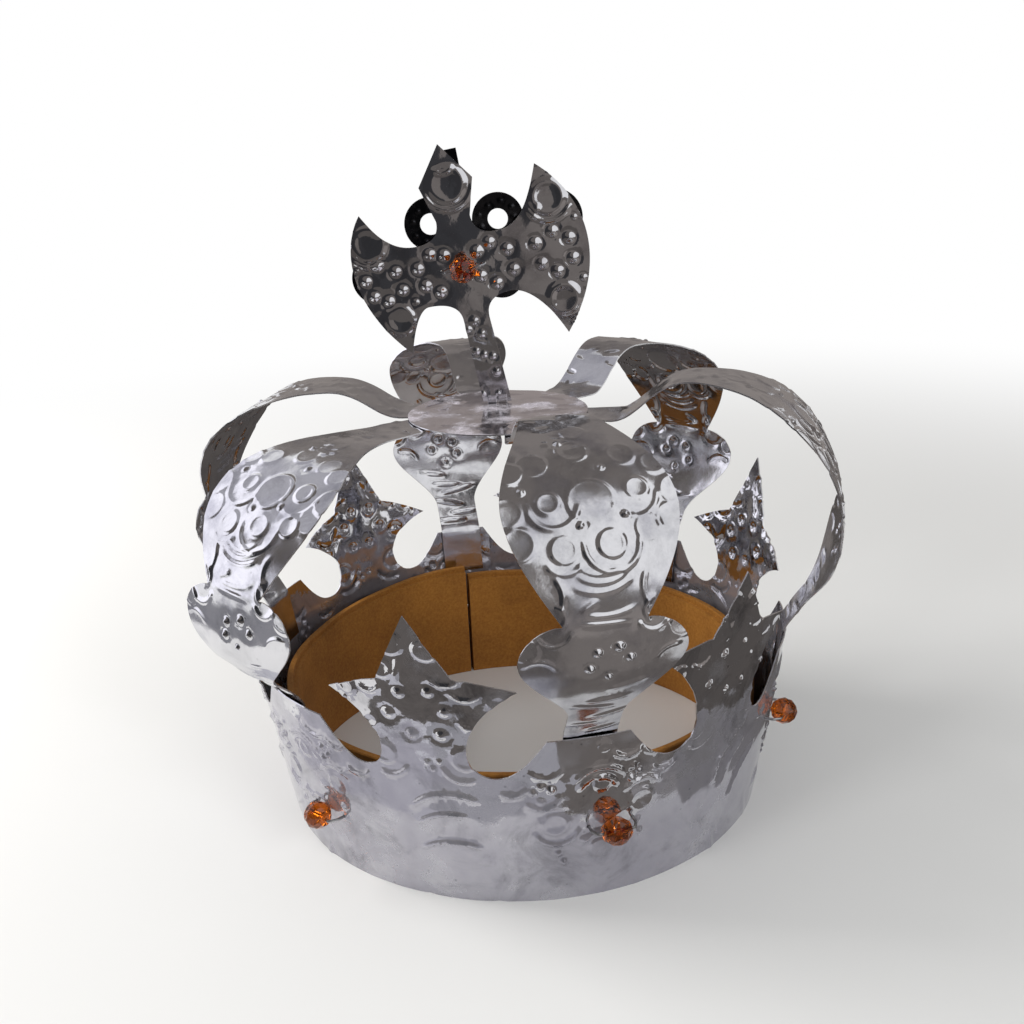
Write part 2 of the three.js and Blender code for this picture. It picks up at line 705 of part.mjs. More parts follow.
straps.forEach((setting, index) => {
  const arch = piece(`strap_${index + 1}`, strap(setting), finishes.metal);
  arch.rotation.z = degToRad(setting.azimuth);
  crown.add(arch);
});

crown.add(piece('hub_disc', hubDisc(), finishes.metal));
crown.add(piece('axe_plate', axePlate(), finishes.metal));
crown.add(piece('rear_plate', rearPlate(), finishes.darkMetal));

beadSeats.forEach(({ azimuth, height }, index) => {
  const station = new THREE.Group();
  station.rotation.z = degToRad(azimuth);
  crown.add(station);
  const glass = piece(`bead_${index + 1}`, bead(), finishes.glass);
  glass.position.set(0, -bandRadius(height) - beadStandOff, height);
  const wire = piece(`bead_wire_${index + 1}`, staple(bandFoldDepth(height)), finishes.wire);
  wire.position.set(0, -bandRadius(height), height);
  station.add(glass, wire);
});

const axeCentre = new THREE.Group();
axeCentre.position.set(axeFoot.x - axeBeadOffset, axeFoot.y - axeSheet / 2, axeFoot.z + axeBeadHeight);
axeCentre.rotation.y = -degToRad(axeLean);
const axeGlass = piece('axe_bead', bead(), finishes.glass);
axeGlass.position.y = -beadStandOff;
const axeWireDepth = axeSheet + rearSpacing + rearSheet + gap + wireRadius;
axeCentre.add(axeGlass, piece('axe_bead_wire', staple(axeWireDepth), finishes.wire));
crown.add(axeCentre);

export default crown;
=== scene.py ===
"""A beaten sheet-metal crown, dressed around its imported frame.

Blender's units are metres, with +Z up and the front towards -Y. The sizes held by
the classes are millimetres, as on the maker's bench, and MM turns them to metres.
"""

import json
import logging
import math
import random
from dataclasses import dataclass, replace
from enum import Enum
from functools import partial
from typing import Callable, Iterable, Sequence

import bpy
import numpy as np
from mathutils import Matrix, Vector
from mathutils.geometry import delaunay_2d_cdt
from mathutils.kdtree import KDTree

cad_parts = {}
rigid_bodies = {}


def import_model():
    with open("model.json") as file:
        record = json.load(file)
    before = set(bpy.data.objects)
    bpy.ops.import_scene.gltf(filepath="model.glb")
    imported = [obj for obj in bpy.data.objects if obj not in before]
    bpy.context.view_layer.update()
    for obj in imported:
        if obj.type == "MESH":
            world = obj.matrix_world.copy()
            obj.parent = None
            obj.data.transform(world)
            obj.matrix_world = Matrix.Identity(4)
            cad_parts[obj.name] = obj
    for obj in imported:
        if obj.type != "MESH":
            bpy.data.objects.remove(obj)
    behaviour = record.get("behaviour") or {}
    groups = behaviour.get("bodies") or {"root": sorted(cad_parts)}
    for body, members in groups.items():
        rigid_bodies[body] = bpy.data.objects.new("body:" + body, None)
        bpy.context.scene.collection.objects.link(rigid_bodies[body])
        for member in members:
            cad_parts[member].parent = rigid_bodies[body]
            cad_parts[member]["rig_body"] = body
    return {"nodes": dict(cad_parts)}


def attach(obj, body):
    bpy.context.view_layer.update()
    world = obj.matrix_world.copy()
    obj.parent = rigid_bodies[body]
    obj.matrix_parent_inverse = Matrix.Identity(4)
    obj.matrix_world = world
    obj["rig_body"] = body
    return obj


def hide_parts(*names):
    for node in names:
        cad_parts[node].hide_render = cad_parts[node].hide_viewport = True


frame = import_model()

LOG = logging.getLogger("crown")
PHOTO_SIDE = 1024
MM = 0.001
FULL_TURN = 360.0
SHEET = 0.5  # thickness of the band, straps and hub
PLATE = 0.8  # thickness of the axe and the scroll plate
GAP = 0.3  # clearance between pieces that lie on each other
HUB_TOP = 144.4  # height of the hub's upper face
WIRE_RADIUS = 0.5
HOLE_RADIUS = 0.7
HOLE_SIDES = 12
HOLE_SPREAD = 7.6  # half the distance between a staple's legs
POINT_WELD = 1e-5  # points of a flat mesh that are nearer than this are one
MOAT_PLACE = 1.4  # radius of the moat round a ball punch, in radii of the punch
MOAT_WIDTH = 0.4  # its width, in radii of the punch
MOAT_DEPTH = 0.22  # its depth, as a share of the punch's rise
DISC_LEVEL = 0.65  # how much of a flat punch's rise its middle has
DISC_DISH = 0.3  # how much lower its middle lies
DISC_RIM = 0.32  # how much higher its rim stands
ARC_FADE = 25.0  # the most degrees over which an arc fades at each end
ARC_FADE_SHARE = 0.4  # the most of its sweep over which it fades
ARC_FADE_RUN = 240.0  # and the most degrees at a radius of 1 mm, fewer at a larger one
CREASE_END = 1.25  # where a crease has died away, in half-lengths
DOME_COVER = 1.9  # how far the fine mesh reaches round a ball punch, in its radii
RIDGE_COVER = 2.2  # how far it reaches beside a ridge or wall, in half-widths
CREASE_COVER = 1.3  # and along a crease, in half-lengths

Loop = np.ndarray
Point = tuple[float, float]
Colour = tuple[float, float, float]
Rows = Iterable[tuple[float, ...]]
Placing = Callable[[np.ndarray, np.ndarray], np.ndarray]
Material = bpy.types.Material
Piece = bpy.types.Object
Socket = bpy.types.NodeSocket
Tree = bpy.types.NodeTree


def smooth(share: np.ndarray) -> np.ndarray:
    """Returns a share eased at both ends."""
    share = np.clip(share, 0.0, 1.0)
    return share * share * (3.0 - 2.0 * share)


def between(start: Point, end: Point, across: float, up: float) -> Point:
    """Returns a point at two shares of the way from start to end."""
    return start[0] + (end[0] - start[0]) * across, start[1] + (end[1] - start[1]) * up


def bezier(points: Sequence[Point], steps: int) -> Loop:
    """Samples a Bezier curve.

    Args:
        points: The control points.
        steps: Number of steps along the curve.

    Returns:
        The points on the curve, both ends among them.
    """
    share = np.linspace(0.0, 1.0, steps + 1)[:, None]
    level = [np.asarray(point, float)[None, :] for point in points]
    while len(level) > 1:
        level = [start * (1.0 - share) + end * share for start, end in zip(level, level[1:])]
    return level[0]


def circle(across: float, along: float, radius: float, sides: int) -> Loop:
    """Returns a closed round loop about a place on the flat sheet."""
    turn = np.linspace(0.0, 2.0 * math.pi, sides, endpoint=False)
    return np.column_stack([across + radius * np.cos(turn), along + radius * np.sin(turn)])


def box_loop(left: float, low: float, right: float, high: float) -> Loop:
    """Returns a closed loop with four corners."""
    return np.array([(left, low), (right, low), (right, high), (left, high)])


def wire_hole(across: float, along: float = 0.0) -> Loop:
    """Returns the loop of a hole that a staple's leg passes."""
    return circle(across, along, HOLE_RADIUS, HOLE_SIDES)


def evenly(loop: Loop, spacing: float) -> Loop:
    """Adds points to a closed loop.

    Args:
        loop: The loop.
        spacing: The longest edge that may be left.

    Returns:
        The loop with its extra points.
    """
    pieces = []
    for start, end in zip(loop, np.roll(loop, -1, axis=0)):
        steps = max(1, math.ceil(float(np.linalg.norm(end - start)) / spacing))
        share = np.arange(steps)[:, None] / steps
        pieces.append(start * (1.0 - share) + end * share)
    return np.vstack(pieces)


def within(loop: Loop, places: np.ndarray) -> np.ndarray:
    """Tells which places lie inside a closed loop, by counting crossings.

    Args:
        loop: The loop.
        places: The places to be told.

    Returns:
        True for each place inside.
    """
    inside = np.zeros(len(places), bool)
    across, along = places[:, 0], places[:, 1]
    for (x0, y0), (x1, y1) in zip(loop, np.roll(loop, -1, axis=0)):
        if y0 == y1:
            continue
        spans = (along < y0) != (along < y1)
        inside ^= spans & (across < x0 + (along - y0) * (x1 - x0) / (y1 - y0))
    return inside


class MarkKind(Enum):
    """The maker's stamps."""

    DOME = "ball punch"
    DISC = "round flat punch"
    ARC = "bent ridge"
    CREASE = "straight ridge"


@dataclass(frozen=True)
class Mark:
    """One stamped mark on a flat sheet. Lengths are millimetres and angles degrees.

    Attributes:
        kind: The stamp.
        across: Place across the sheet.
        along: Place along the sheet.
        size: Radius of the stamp, or half the length of a crease.
        rise: Height above the sheet, below it when negative.
        width: Half-width of the ridge or of the disc's sloping wall.
        start: Where an arc starts, or which way a crease runs.
        sweep: How far an arc runs.
    """

    kind: MarkKind
    across: float
    along: float
    size: float
    rise: float
    width: float
    start: float = 0.0
    sweep: float = FULL_TURN

    def _offset(self, places: np.ndarray) -> tuple[np.ndarray, np.ndarray, np.ndarray]:
        """Returns each place's distances across, along and straight from the mark's middle."""
        across, along = places[:, 0] - self.across, places[:, 1] - self.along
        return across, along, np.hypot(across, along)

    def _along_arc(self, across: np.ndarray, along: np.ndarray) -> np.ndarray:
        """Tells how far the arc's sweep reaches.

        Args:
            across: Each place's distance across from the middle.
            along: Its distance along.

        Returns:
            1 inside the sweep, fading to 0 at its ends.
        """
        taper = min(ARC_FADE, self.sweep * ARC_FADE_SHARE, ARC_FADE_RUN / self.size)
        turn = (np.degrees(np.arctan2(along, across)) - self.start) % FULL_TURN
        return np.where(turn < self.sweep, smooth(np.minimum(turn, self.sweep - turn) / taper), 0.0)

    def _in_crease(self, across: np.ndarray, along: np.ndarray) -> tuple[np.ndarray, np.ndarray]:
        """Returns each place's distance along the crease's line and away from it."""
        cosine, sine = math.cos(math.radians(self.start)), math.sin(math.radians(self.start))
        return across * cosine + along * sine, along * cosine - across * sine

    def height(self, places: np.ndarray) -> np.ndarray:
        """Works out how far the mark lifts the sheet.

        Args:
            places: Places on the flat sheet.

        Returns:
            The lift at each place, in millimetres.
        """
        across, along, distance = self._offset(places)
        if self.kind is MarkKind.DOME:
            bump = (1.0 - np.clip(distance / self.size, 0.0, 1.0) ** 2) ** 2
            moat = np.exp(-(((distance - MOAT_PLACE * self.size) / (MOAT_WIDTH * self.size)) ** 2))
            return self.rise * (bump - MOAT_DEPTH * moat)
        if self.kind is MarkKind.DISC:
            raised = smooth((self.size + self.width - distance) / (2.0 * self.width))
            dish = np.clip(1.0 - (distance / self.size) ** 2, 0.0, 1.0)
            rim = np.exp(-(((distance - self.size) / (0.35 + 0.5 * self.width)) ** 2))
            return self.rise * (DISC_LEVEL * raised - DISC_DISH * dish + DISC_RIM * rim)
        if self.kind is MarkKind.CREASE:
            run, away = self._in_crease(across, along)
            ridge = np.exp(-((away / self.width) ** 2))
            return self.rise * ridge * smooth(CREASE_END - np.abs(run) / self.size)
        ridge = np.exp(-(((distance - self.size) / self.width) ** 2))
        return self.rise * ridge * self._along_arc(across, along)

    def covers(self, places: np.ndarray) -> np.ndarray:
        """Tells which places need a fine mesh for this mark.

        Args:
            places: Places on the flat sheet.

        Returns:
            True for each place that the mark shapes.
        """
        across, along, distance = self._offset(places)
        if self.kind is MarkKind.DOME:
            return distance < DOME_COVER * self.size
        if self.kind is MarkKind.CREASE:
            run, away = self._in_crease(across, along)
            beside = np.abs(away) < RIDGE_COVER * self.width
            return beside & (np.abs(run) < CREASE_COVER * self.size)
        near = np.abs(distance - self.size) < RIDGE_COVER * self.width
        return near if self.kind is MarkKind.DISC else near & (self._along_arc(across, along) > 0.0)

    def moved(self, across: float, along: float, turn: float = 0.0) -> "Mark":
        """Turns the mark about the origin and then moves it.

        Args:
            across: How far it moves across the sheet.
            along: How far it moves along the sheet.
            turn: How far it is turned first, in degrees.

        Returns:
            The moved mark.
        """
        cosine, sine = math.cos(math.radians(turn)), math.sin(math.radians(turn))
        across = across + self.across * cosine - self.along * sine
        along = along + self.across * sine + self.along * cosine
        return replace(self, across=across, along=along, start=self.start + turn)


def stamped(kind: MarkKind, rows: Rows, rise: float, width: float = 0.8) -> list[Mark]:
    """Makes marks of one kind.

    Args:
        kind: The stamp.
        rows: Rows of across, along and size, and then an arc's start and sweep, or a
            crease's direction.
        rise: Height of them all.
        width: Half-width of the ridge or wall.

    Returns:
        The marks.
    """
    return [Mark(kind, *row[:3], rise, width, *row[3:]) for row in rows]


# each takes rows and a rise
domes = partial(stamped, MarkKind.DOME)
discs = partial(stamped, MarkKind.DISC, width=0.75)
dishes = partial(stamped, MarkKind.DISC, width=1.7)
arcs = partial(stamped, MarkKind.ARC)
creases = partial(stamped, MarkKind.CREASE, width=0.9)


def by_hand(
    marks: Iterable[Mark],
    seed: int,
    shift: float = 0.6,
    turn: float = 6.0,
    rises: Point = (0.75, 1.2),
) -> list[Mark]:
    """Gives repeated marks the small differences of hand work.

    Args:
        marks: The marks of the pattern.
        seed: A number for the copy.
        shift: The most that a mark moves, in millimetres.
        turn: The most that it turns, in degrees.
        rises: The least and the greatest share of its rise that it keeps.

    Returns:
        The marks, each moved, lifted and turned a little differently.
    """
    chance = random.Random(seed)
    return [
        replace(
            mark,
            across=mark.across + chance.uniform(-shift, shift),
            along=mark.along + chance.uniform(-shift, shift),
            rise=mark.rise * chance.uniform(*rises),
            start=mark.start + chance.uniform(-turn, turn),
        )
        for mark in marks
    ]


class NodeBench:
    """Adds and joins the nodes of one tree with short calls."""

    def __init__(self, tree: Tree) -> None:
        """Keeps the tree that the calls work on."""
        self.tree = tree

    def put(self, kind: str, inputs: dict | None = None, **settings: object) -> bpy.types.Node:
        """Adds a node.

        Args:
            kind: Blender's name of the node's type.
            inputs: Values or sockets for its inputs, by name or place.
            **settings: The node's own settings.

        Returns:
            The node.
        """
        node = self.tree.nodes.new(kind)
        for name, value in settings.items():
            setattr(node, name, value)
        for key, value in (inputs or {}).items():
            if isinstance(value, Socket):
                self.tree.links.new(value, node.inputs[key])
            else:
                node.inputs[key].default_value = value
        return node

    def math(self, operation: str, *values: object) -> Socket:
        """Adds a math node and returns its result."""
        return self.put("ShaderNodeMath", dict(enumerate(values)), operation=operation).outputs[0]

    def fade(self, value: object, low: object, high: object, start: float = 0.0, end: float = 1.0) -> Socket:
        """Adds a smooth map from low..high to start..end and returns its result."""
        places = {"Value": value, "From Min": low, "From Max": high, "To Min": start, "To Max": end}
        return self.put("ShaderNodeMapRange", places, interpolation_type="SMOOTHSTEP").outputs[0]

    def noise(self, place: Socket, scale: object, detail: float, **inputs: object) -> Socket:
        """Adds a noise texture, with other inputs by their names, and returns its value."""
        places = {"Vector": place, "Scale": scale, "Detail": detail, **inputs}
        return self.put("ShaderNodeTexNoise", places).outputs[0]

    def mix(self, factor: Socket, first: object, second: object) -> Socket:
        """Adds a mix of two colours and returns its result."""
        first, second = (part if isinstance(part, Socket) else (*part, 1.0) for part in (first, second))
        places = {"Factor": factor, "A": first, "B": second}
        return self.put("ShaderNodeMix", places, data_type="RGBA").outputs["Result"]

    def mask(self, group: Tree, place: Socket, **inputs: object) -> Socket:
        """Adds a shader group that reads a place and returns the mask that it puts out."""
        return self.put("ShaderNodeGroup", {"Vector": place, **inputs}, node_tree=group).outputs["Mask"]

    def bump(self, height: Socket, strength: float, depth: float) -> Socket:
        """Adds a bump with a depth in millimetres and returns its normal."""
        places = {"Height": height, "Strength": strength, "Distance": depth * MM}
        return self.put("ShaderNodeBump", places).outputs[0]

    def place(self) -> Socket:
        """Returns the place on the object."""
        return self.put("ShaderNodeTexCoord").outputs["Object"]

    def seen(self) -> Socket:
        """Returns 1 to the camera, in a reflection and through glass, and 0 to other rays."""
        rays = self.put("ShaderNodeLightPath").outputs
        indirect = self.math("MAXIMUM", rays["Is Glossy Ray"], rays["Is Transmission Ray"])
        return self.math("MAXIMUM", indirect, rays["Is Camera Ray"])

    def surface(self, shader: str, inputs: dict, output: str = "ShaderNodeOutputMaterial") -> None:
        """Adds a shader and joins it to the tree's output."""
        self.put(output, {"Surface": self.put(shader, inputs).outputs[0]})


def new_group(name: str, kind: str, inputs: dict, output: str, output_type: str) -> tuple:
    """Makes a node group with named inputs and one output.

    Args:
        name: The group's name.
        kind: ShaderNodeTree or GeometryNodeTree.
        inputs: Each input's default, or the name of its socket type where it has none.
        output: The output's name.
        output_type: The name of its socket type.

    Returns:
        The group, a bench for its nodes, and the sockets that the inputs come in by.
    """
    group = bpy.data.node_groups.new(name, kind)
    for label, default in inputs.items():
        plain = isinstance(default, str)
        named = default if plain else {float: "Float", int: "Int"}[type(default)]
        socket = group.interface.new_socket(label, in_out="INPUT", socket_type=f"NodeSocket{named}")
        if not plain:
            socket.default_value = default
    group.interface.new_socket(output, in_out="OUTPUT", socket_type=f"NodeSocket{output_type}")
    bench = NodeBench(group)
    return group, bench, bench.put("NodeGroupInput").outputs


class ShaderGroups:
    """Effects that several finishes use."""

    def __init__(self) -> None:
        """Builds each group once."""
        self.clouding = self._clouding()
        self.scuffs = self._scuffs()
        self.stains = self._stains()

    @staticmethod
    def _clouding() -> Tree:
        """Makes a group that puts out soft uneven patches from 0 to 1.

        Returns:
            The group.
        """
        inputs = {"Vector": "Vector", "Scale": 60.0, "Roughness": 0.6, "Low": 0.35, "High": 0.65}
        group, bench, given = new_group("Clouding", "ShaderNodeTree", inputs, "Mask", "Float")
        noise = bench.noise(given["Vector"], given["Scale"], 6.0, Roughness=given["Roughness"])
        bench.put("NodeGroupOutput", {"Mask": bench.fade(noise, given["Low"], given["High"])})
        return group

    @staticmethod
    def _scuffs() -> Tree:
        """Makes a group that puts out thin crossed scratches from 0 to 1.

        Returns:
            The group.
        """
        inputs = {"Vector": "Vector", "Scale": 90.0, "Stretch": 14.0}
        group, bench, given = new_group("Scuffs", "ShaderNodeTree", inputs, "Mask", "Float")
        layers = []
        for turn in ((0.3, 0.5, 0.9), (1.2, -0.4, 2.3)):
            stretch = bench.put("ShaderNodeCombineXYZ", {0: given["Stretch"], 1: 1.0, 2: 1.0}).outputs[0]
            places = {"Vector": given["Vector"], "Rotation": turn, "Scale": stretch}
            turned = bench.put("ShaderNodeMapping", places).outputs[0]
            layers.append(bench.fade(bench.noise(turned, given["Scale"], 3.0, Roughness=0.7), 0.6, 0.72))
        bench.put("NodeGroupOutput", {"Mask": bench.math("MAXIMUM", *layers)})
        return group

    @staticmethod
    def _stains() -> Tree:
        """Makes a group that puts out smears and small specks from 0 to 1.

        Returns:
            The group.
        """
        inputs = {"Vector": "Vector", "Smear scale": 42.0, "Speck scale": 330.0}
        group, bench, given = new_group("Stains", "ShaderNodeTree", inputs, "Mask", "Float")
        smears = bench.noise(given["Vector"], given["Smear scale"], 9.0, Roughness=0.72, Distortion=0.6)
        places = {"Vector": given["Vector"], "Scale": given["Speck scale"]}
        cells = bench.put("ShaderNodeTexVoronoi", places).outputs
        chosen = bench.fade(bench.put("ShaderNodeSeparateXYZ", {0: cells["Color"]}).outputs[0], 0.8, 0.86)
        specks = bench.math("MULTIPLY", bench.fade(cells["Distance"], 0.2, 0.08), chosen)
        faint = bench.math("MULTIPLY", specks, 0.7)
        mask = bench.math("MAXIMUM", bench.fade(smears, 0.46, 0.74, 0.0, 0.9), faint)
        bench.put("NodeGroupOutput", {"Mask": mask})
        return group


def new_material(name: str) -> tuple[Material, NodeBench]:
    """Makes an empty material.

    Args:
        name: The material's name.

    Returns:
        The material and a bench for its nodes.
    """
    material = bpy.data.materials.new(name)
    material.use_nodes = True
    material.node_tree.nodes.clear()
    return material, NodeBench(material.node_tree)


@dataclass(frozen=True)
class SheetMetalFinish:
    """Bright beaten sheet, with clouding, scuffs, stains and an optional matt bloom low down.

    Attributes:
        name: The material's name.
        bright: Colour where the sheet is clean.
        dull: Colour where it is clouded.
        gloss: Roughness of the clean metal.
        matt: Roughness of the clouded metal.
        bloom_top: Height in millimetres up to which the bloom reaches, 0 for none.
        bare: How metallic the clouded sheet still is, from 0 to 1.
        stain: Strength of the dark smears and specks, from 0 to 1.
        rubbed: How much lower in millimetres the bloom ends where it is rubbed off.
        rubbed_sides: Where the rubbed part fades in, and out again, to the right of the middle.
        ragged: How far in millimetres the bloom's border wanders.
        soft: Width in millimetres of the bloom's soft border.
        grain: Strength of the fine bumps.
    """

    name: str
    bright: Colour
    dull: Colour
    gloss: float
    matt: float
    bloom_top: float = 0.0
    bare: float = 1.0
    stain: float = 0.35
    rubbed: float = 0.0
    rubbed_sides: Sequence[Point] = ((-20.0, 20.0), (58.0, 34.0))
    ragged: float = 70.0
    soft: float = 5.0
    grain: float = 0.08

    def material(self, groups: ShaderGroups) -> Material:
        """Makes the finish's material.

        Args:
            groups: The shared effects.

        Returns:
            The material.
        """
        material, bench = new_material(self.name)
        place = bench.place()
        worn = bench.mask(groups.clouding, place, Scale=75.0, Low=0.42, High=0.72)
        if self.bloom_top:
            worn = self._bloom(bench, place, worn)
        scuffs = bench.mask(groups.scuffs, place, Scale=110.0)
        stains = bench.math("MULTIPLY", bench.mask(groups.stains, place), self.stain)
        colour = bench.mix(worn, self.bright, self.dull)
        rough = bench.fade(worn, 0.0, 1.0, self.gloss, self.matt)
        grain = bench.noise(place, 420.0, 4.0)
        height = bench.math("ADD", grain, bench.math("MULTIPLY", scuffs, -0.04))
        inputs = {
            "Base Color": bench.mix(stains, colour, [0.35 * part for part in self.dull]),
            "Metallic": bench.fade(worn, 0.0, 1.0, 1.0, self.bare) if self.bare < 1.0 else 1.0,
            "Roughness": bench.math("ADD", rough, bench.math("MULTIPLY", scuffs, 0.05)),
            "Normal": bench.bump(height, self.grain, 0.3),
        }
        bench.surface("ShaderNodeBsdfPrincipled", inputs)
        return material

    def _bloom(self, bench: NodeBench, place: Socket, cloud: Socket) -> Socket:
        """Makes the mask of the cloudy matt bloom, whose upper border is ragged.

        Args:
            bench: The material's bench.
            place: The place on the object.
            cloud: The mask of the clouding.

        Returns:
            The mask of the bloom, and of the clouding above it.
        """
        across, _, up = bench.put("ShaderNodeSeparateXYZ", {0: place}).outputs
        sides = [bench.fade(across, low * MM, high * MM) for low, high in self.rubbed_sides]
        rubbed = bench.math("MULTIPLY", bench.math("MULTIPLY", *sides), self.rubbed * MM)
        wander = bench.math("SUBTRACT", bench.noise(place, 55.0, 7.0, Roughness=0.65), 0.5)
        shift = bench.math("MULTIPLY", wander, self.ragged * MM)
        level = bench.math("ADD", bench.math("ADD", up, rubbed), shift)
        low = bench.fade(level, self.bloom_top * MM, (self.bloom_top - self.soft) * MM)
        patches = bench.fade(bench.noise(place, 30.0, 8.0, Roughness=0.7), 0.32, 0.62, 0.55, 1.0)
        faint = bench.math("MULTIPLY", cloud, 0.4)
        return bench.math("MAXIMUM", faint, bench.math("MULTIPLY", low, patches))


@dataclass(frozen=True)
class GlassFinish:
    """Clear coloured glass."""

    name: str
    colour: Colour
    gloss: float = 0.03
    deep_share: float = 0.8
    refraction: float = 1.55

    def material(self, groups: ShaderGroups) -> Material:
        """Makes the finish's material, whose colour deepens in soft veins.

        Args:
            groups: The shared effects.

        Returns:
            The material.
        """
        material, bench = new_material(self.name)
        veins = bench.mask(groups.clouding, bench.place(), Scale=120.0)
        inputs = {
            "Base Color": bench.mix(veins, self.colour, [self.deep_share * part for part in self.colour]),
            "Roughness": self.gloss,
            "IOR": self.refraction,
            "Transmission Weight": 1.0,
        }
        bench.surface("ShaderNodeBsdfPrincipled", inputs)
        return material


@dataclass(frozen=True)
class BoardFinish:
    """Pressed brown board with fibres, patches and specks."""

    name: str
    light: Colour
    dark: Colour

    def material(self, groups: ShaderGroups) -> Material:
        """Makes the finish's material.

        Args:
            groups: The shared effects.

        Returns:
            The material.
        """
        material, bench = new_material(self.name)
        place = bench.place()
        patches = bench.mask(groups.clouding, place, Scale=38.0)
        fibres = bench.noise(place, 900.0, 5.0, Roughness=0.7)
        cells = bench.put("ShaderNodeTexVoronoi", {"Vector": place, "Scale": 420.0}).outputs
        specks = bench.math("MULTIPLY", bench.fade(cells["Distance"], 0.16, 0.05), 0.8)
        mottle = bench.math("MULTIPLY", bench.fade(fibres, 0.3, 0.7), 0.55)
        shade = bench.math("ADD", mottle, bench.math("MULTIPLY", patches, 0.35))
        inputs = {
            "Base Color": bench.mix(bench.math("MAXIMUM", shade, specks), self.light, self.dark),
            "Roughness": bench.fade(fibres, 0.0, 1.0, 0.72, 0.95),
            "Normal": bench.bump(fibres, 0.35, 0.25),
        }
        bench.surface("ShaderNodeBsdfPrincipled", inputs)
        return material


class GeometryTrees:
    """Geometry node trees that the pieces share."""

    def __init__(self) -> None:
        """Builds each tree once."""
        self.beating = self._beating()
        self.wire = self._wire()

    @staticmethod
    def _finish(bench: NodeBench, geometry: Socket, material: Socket) -> None:
        """Ends a tree in Realize Instances and Set Material.

        Args:
            bench: The tree's bench.
            geometry: What the tree made.
            material: The piece's material.
        """
        real = bench.put("GeometryNodeRealizeInstances", {0: geometry})
        dressed = bench.put("GeometryNodeSetMaterial", {"Geometry": real.outputs[0], "Material": material})
        bench.put("NodeGroupOutput", {"Geometry": dressed.outputs[0]})

    def _beating(self) -> Tree:
        """Makes a tree that gives a sheet the soft unevenness of hand beating.

        Returns:
            The tree.
        """
        inputs = {
            "Geometry": "Geometry",
            "Wave depth": 0.5 * MM,
            "Wave scale": 45.0,
            "Dent depth": 0.12 * MM,
            "Dent scale": 170.0,
            "Seed": 0.0,
            "Material": "Material",
        }
        group, bench, given = new_group("Beating", "GeometryNodeTree", inputs, "Geometry", "Geometry")
        place = bench.put("GeometryNodeInputPosition").outputs[0]
        lifts = []
        for depth, scale in (("Wave depth", "Wave scale"), ("Dent depth", "Dent scale")):
            places = {"Vector": place, "W": given["Seed"], "Scale": given[scale], "Detail": 1.5}
            noise = bench.put("ShaderNodeTexNoise", places, noise_dimensions="4D").outputs[0]
            lifts.append(bench.math("MULTIPLY", bench.math("SUBTRACT", noise, 0.5), given[depth]))
        normal = bench.put("GeometryNodeInputNormal").outputs[0]
        places = {0: normal, "Scale": bench.math("ADD", *lifts)}
        shift = bench.put("ShaderNodeVectorMath", places, operation="SCALE").outputs[0]
        moved = bench.put("GeometryNodeSetPosition", {"Geometry": given["Geometry"], "Offset": shift})
        self._finish(bench, moved.outputs[0], given["Material"])
        return group

    def _wire(self) -> Tree:
        """Makes a tree that turns a line of edges into bent round wire.

        Returns:
            The tree.
        """
        inputs = {
            "Geometry": "Geometry",
            "Wire radius": WIRE_RADIUS * MM,
            "Bend radius": MM,
            "Bend steps": 6,
            "Sides": 14,
            "Material": "Material",
        }
        group, bench, given = new_group("Bent wire", "GeometryNodeTree", inputs, "Geometry", "Geometry")
        line = bench.put("GeometryNodeMeshToCurve", {0: given["Geometry"]}).outputs[0]
        places = {"Curve": line, "Radius": given["Bend radius"], "Count": given["Bend steps"]}
        bent = bench.put("GeometryNodeFilletCurve", places, mode="POLY").outputs[0]
        places = {"Resolution": given["Sides"], "Radius": given["Wire radius"]}
        section = bench.put("GeometryNodeCurvePrimitiveCircle", places).outputs[0]
        places = {"Curve": bent, "Profile Curve": section, "Fill Caps": True}
        tube = bench.put("GeometryNodeCurveToMesh", places).outputs[0]
        rounded = bench.put("GeometryNodeSetShadeSmooth", {"Geometry": tube}).outputs[0]
        self._finish(bench, rounded, given["Material"])
        return group


def keep_result(piece: Piece) -> None:
    """Turns a piece's evaluated mesh into its own mesh and removes its modifiers.

    Args:
        piece: The object, with its modifiers set.
    """
    bpy.context.view_layer.update()
    evaluated = piece.evaluated_get(bpy.context.evaluated_depsgraph_get())
    mesh = bpy.data.meshes.new_from_object(evaluated)
    piece.modifiers.clear()
    piece.data = mesh


def run_tree(piece: Piece, tree: Tree, values: dict[str, object]) -> None:
    """Runs a geometry tree on a piece and keeps its result as a plain mesh.

    Args:
        piece: The object.
        tree: The geometry tree.
        values: The tree's inputs by name.
    """
    modifier = piece.modifiers.new(tree.name, "NODES")
    modifier.node_group = tree
    for item in tree.interface.items_tree:
        if item.in_out == "INPUT" and item.name in values:
            modifier[item.identifier] = values[item.name]
    keep_result(piece)


def linked(name: str, data: bpy.types.ID) -> Piece:
    """Makes an object of a mesh, lamp or camera and links it to the scene."""
    made = bpy.data.objects.new(name, data)
    bpy.context.scene.collection.objects.link(made)
    return made


def new_piece(name: str, points: Sequence, faces: Sequence, edges: Sequence = ()) -> Piece:
    """Makes a mesh object at the origin.

    Args:
        name: The object's name.
        points: Its points in metres.
        faces: The numbers of each face's points.
        edges: The numbers of each loose edge's points.

    Returns:
        The object.
    """
    mesh = bpy.data.meshes.new(name)
    mesh.from_pydata([tuple(point) for point in points], list(edges), list(faces))
    mesh.update()
    return linked(name, mesh)


@dataclass
class Workshop:
    """What every sub-assembly is made with."""

    trees: GeometryTrees
    metal: Material
    band_metal: Material
    hub_metal: Material
    axe_metal: Material
    cut_edge_highlight: Material
    dark_metal: Material
    wire: Material
    glass: Material
    board: Material


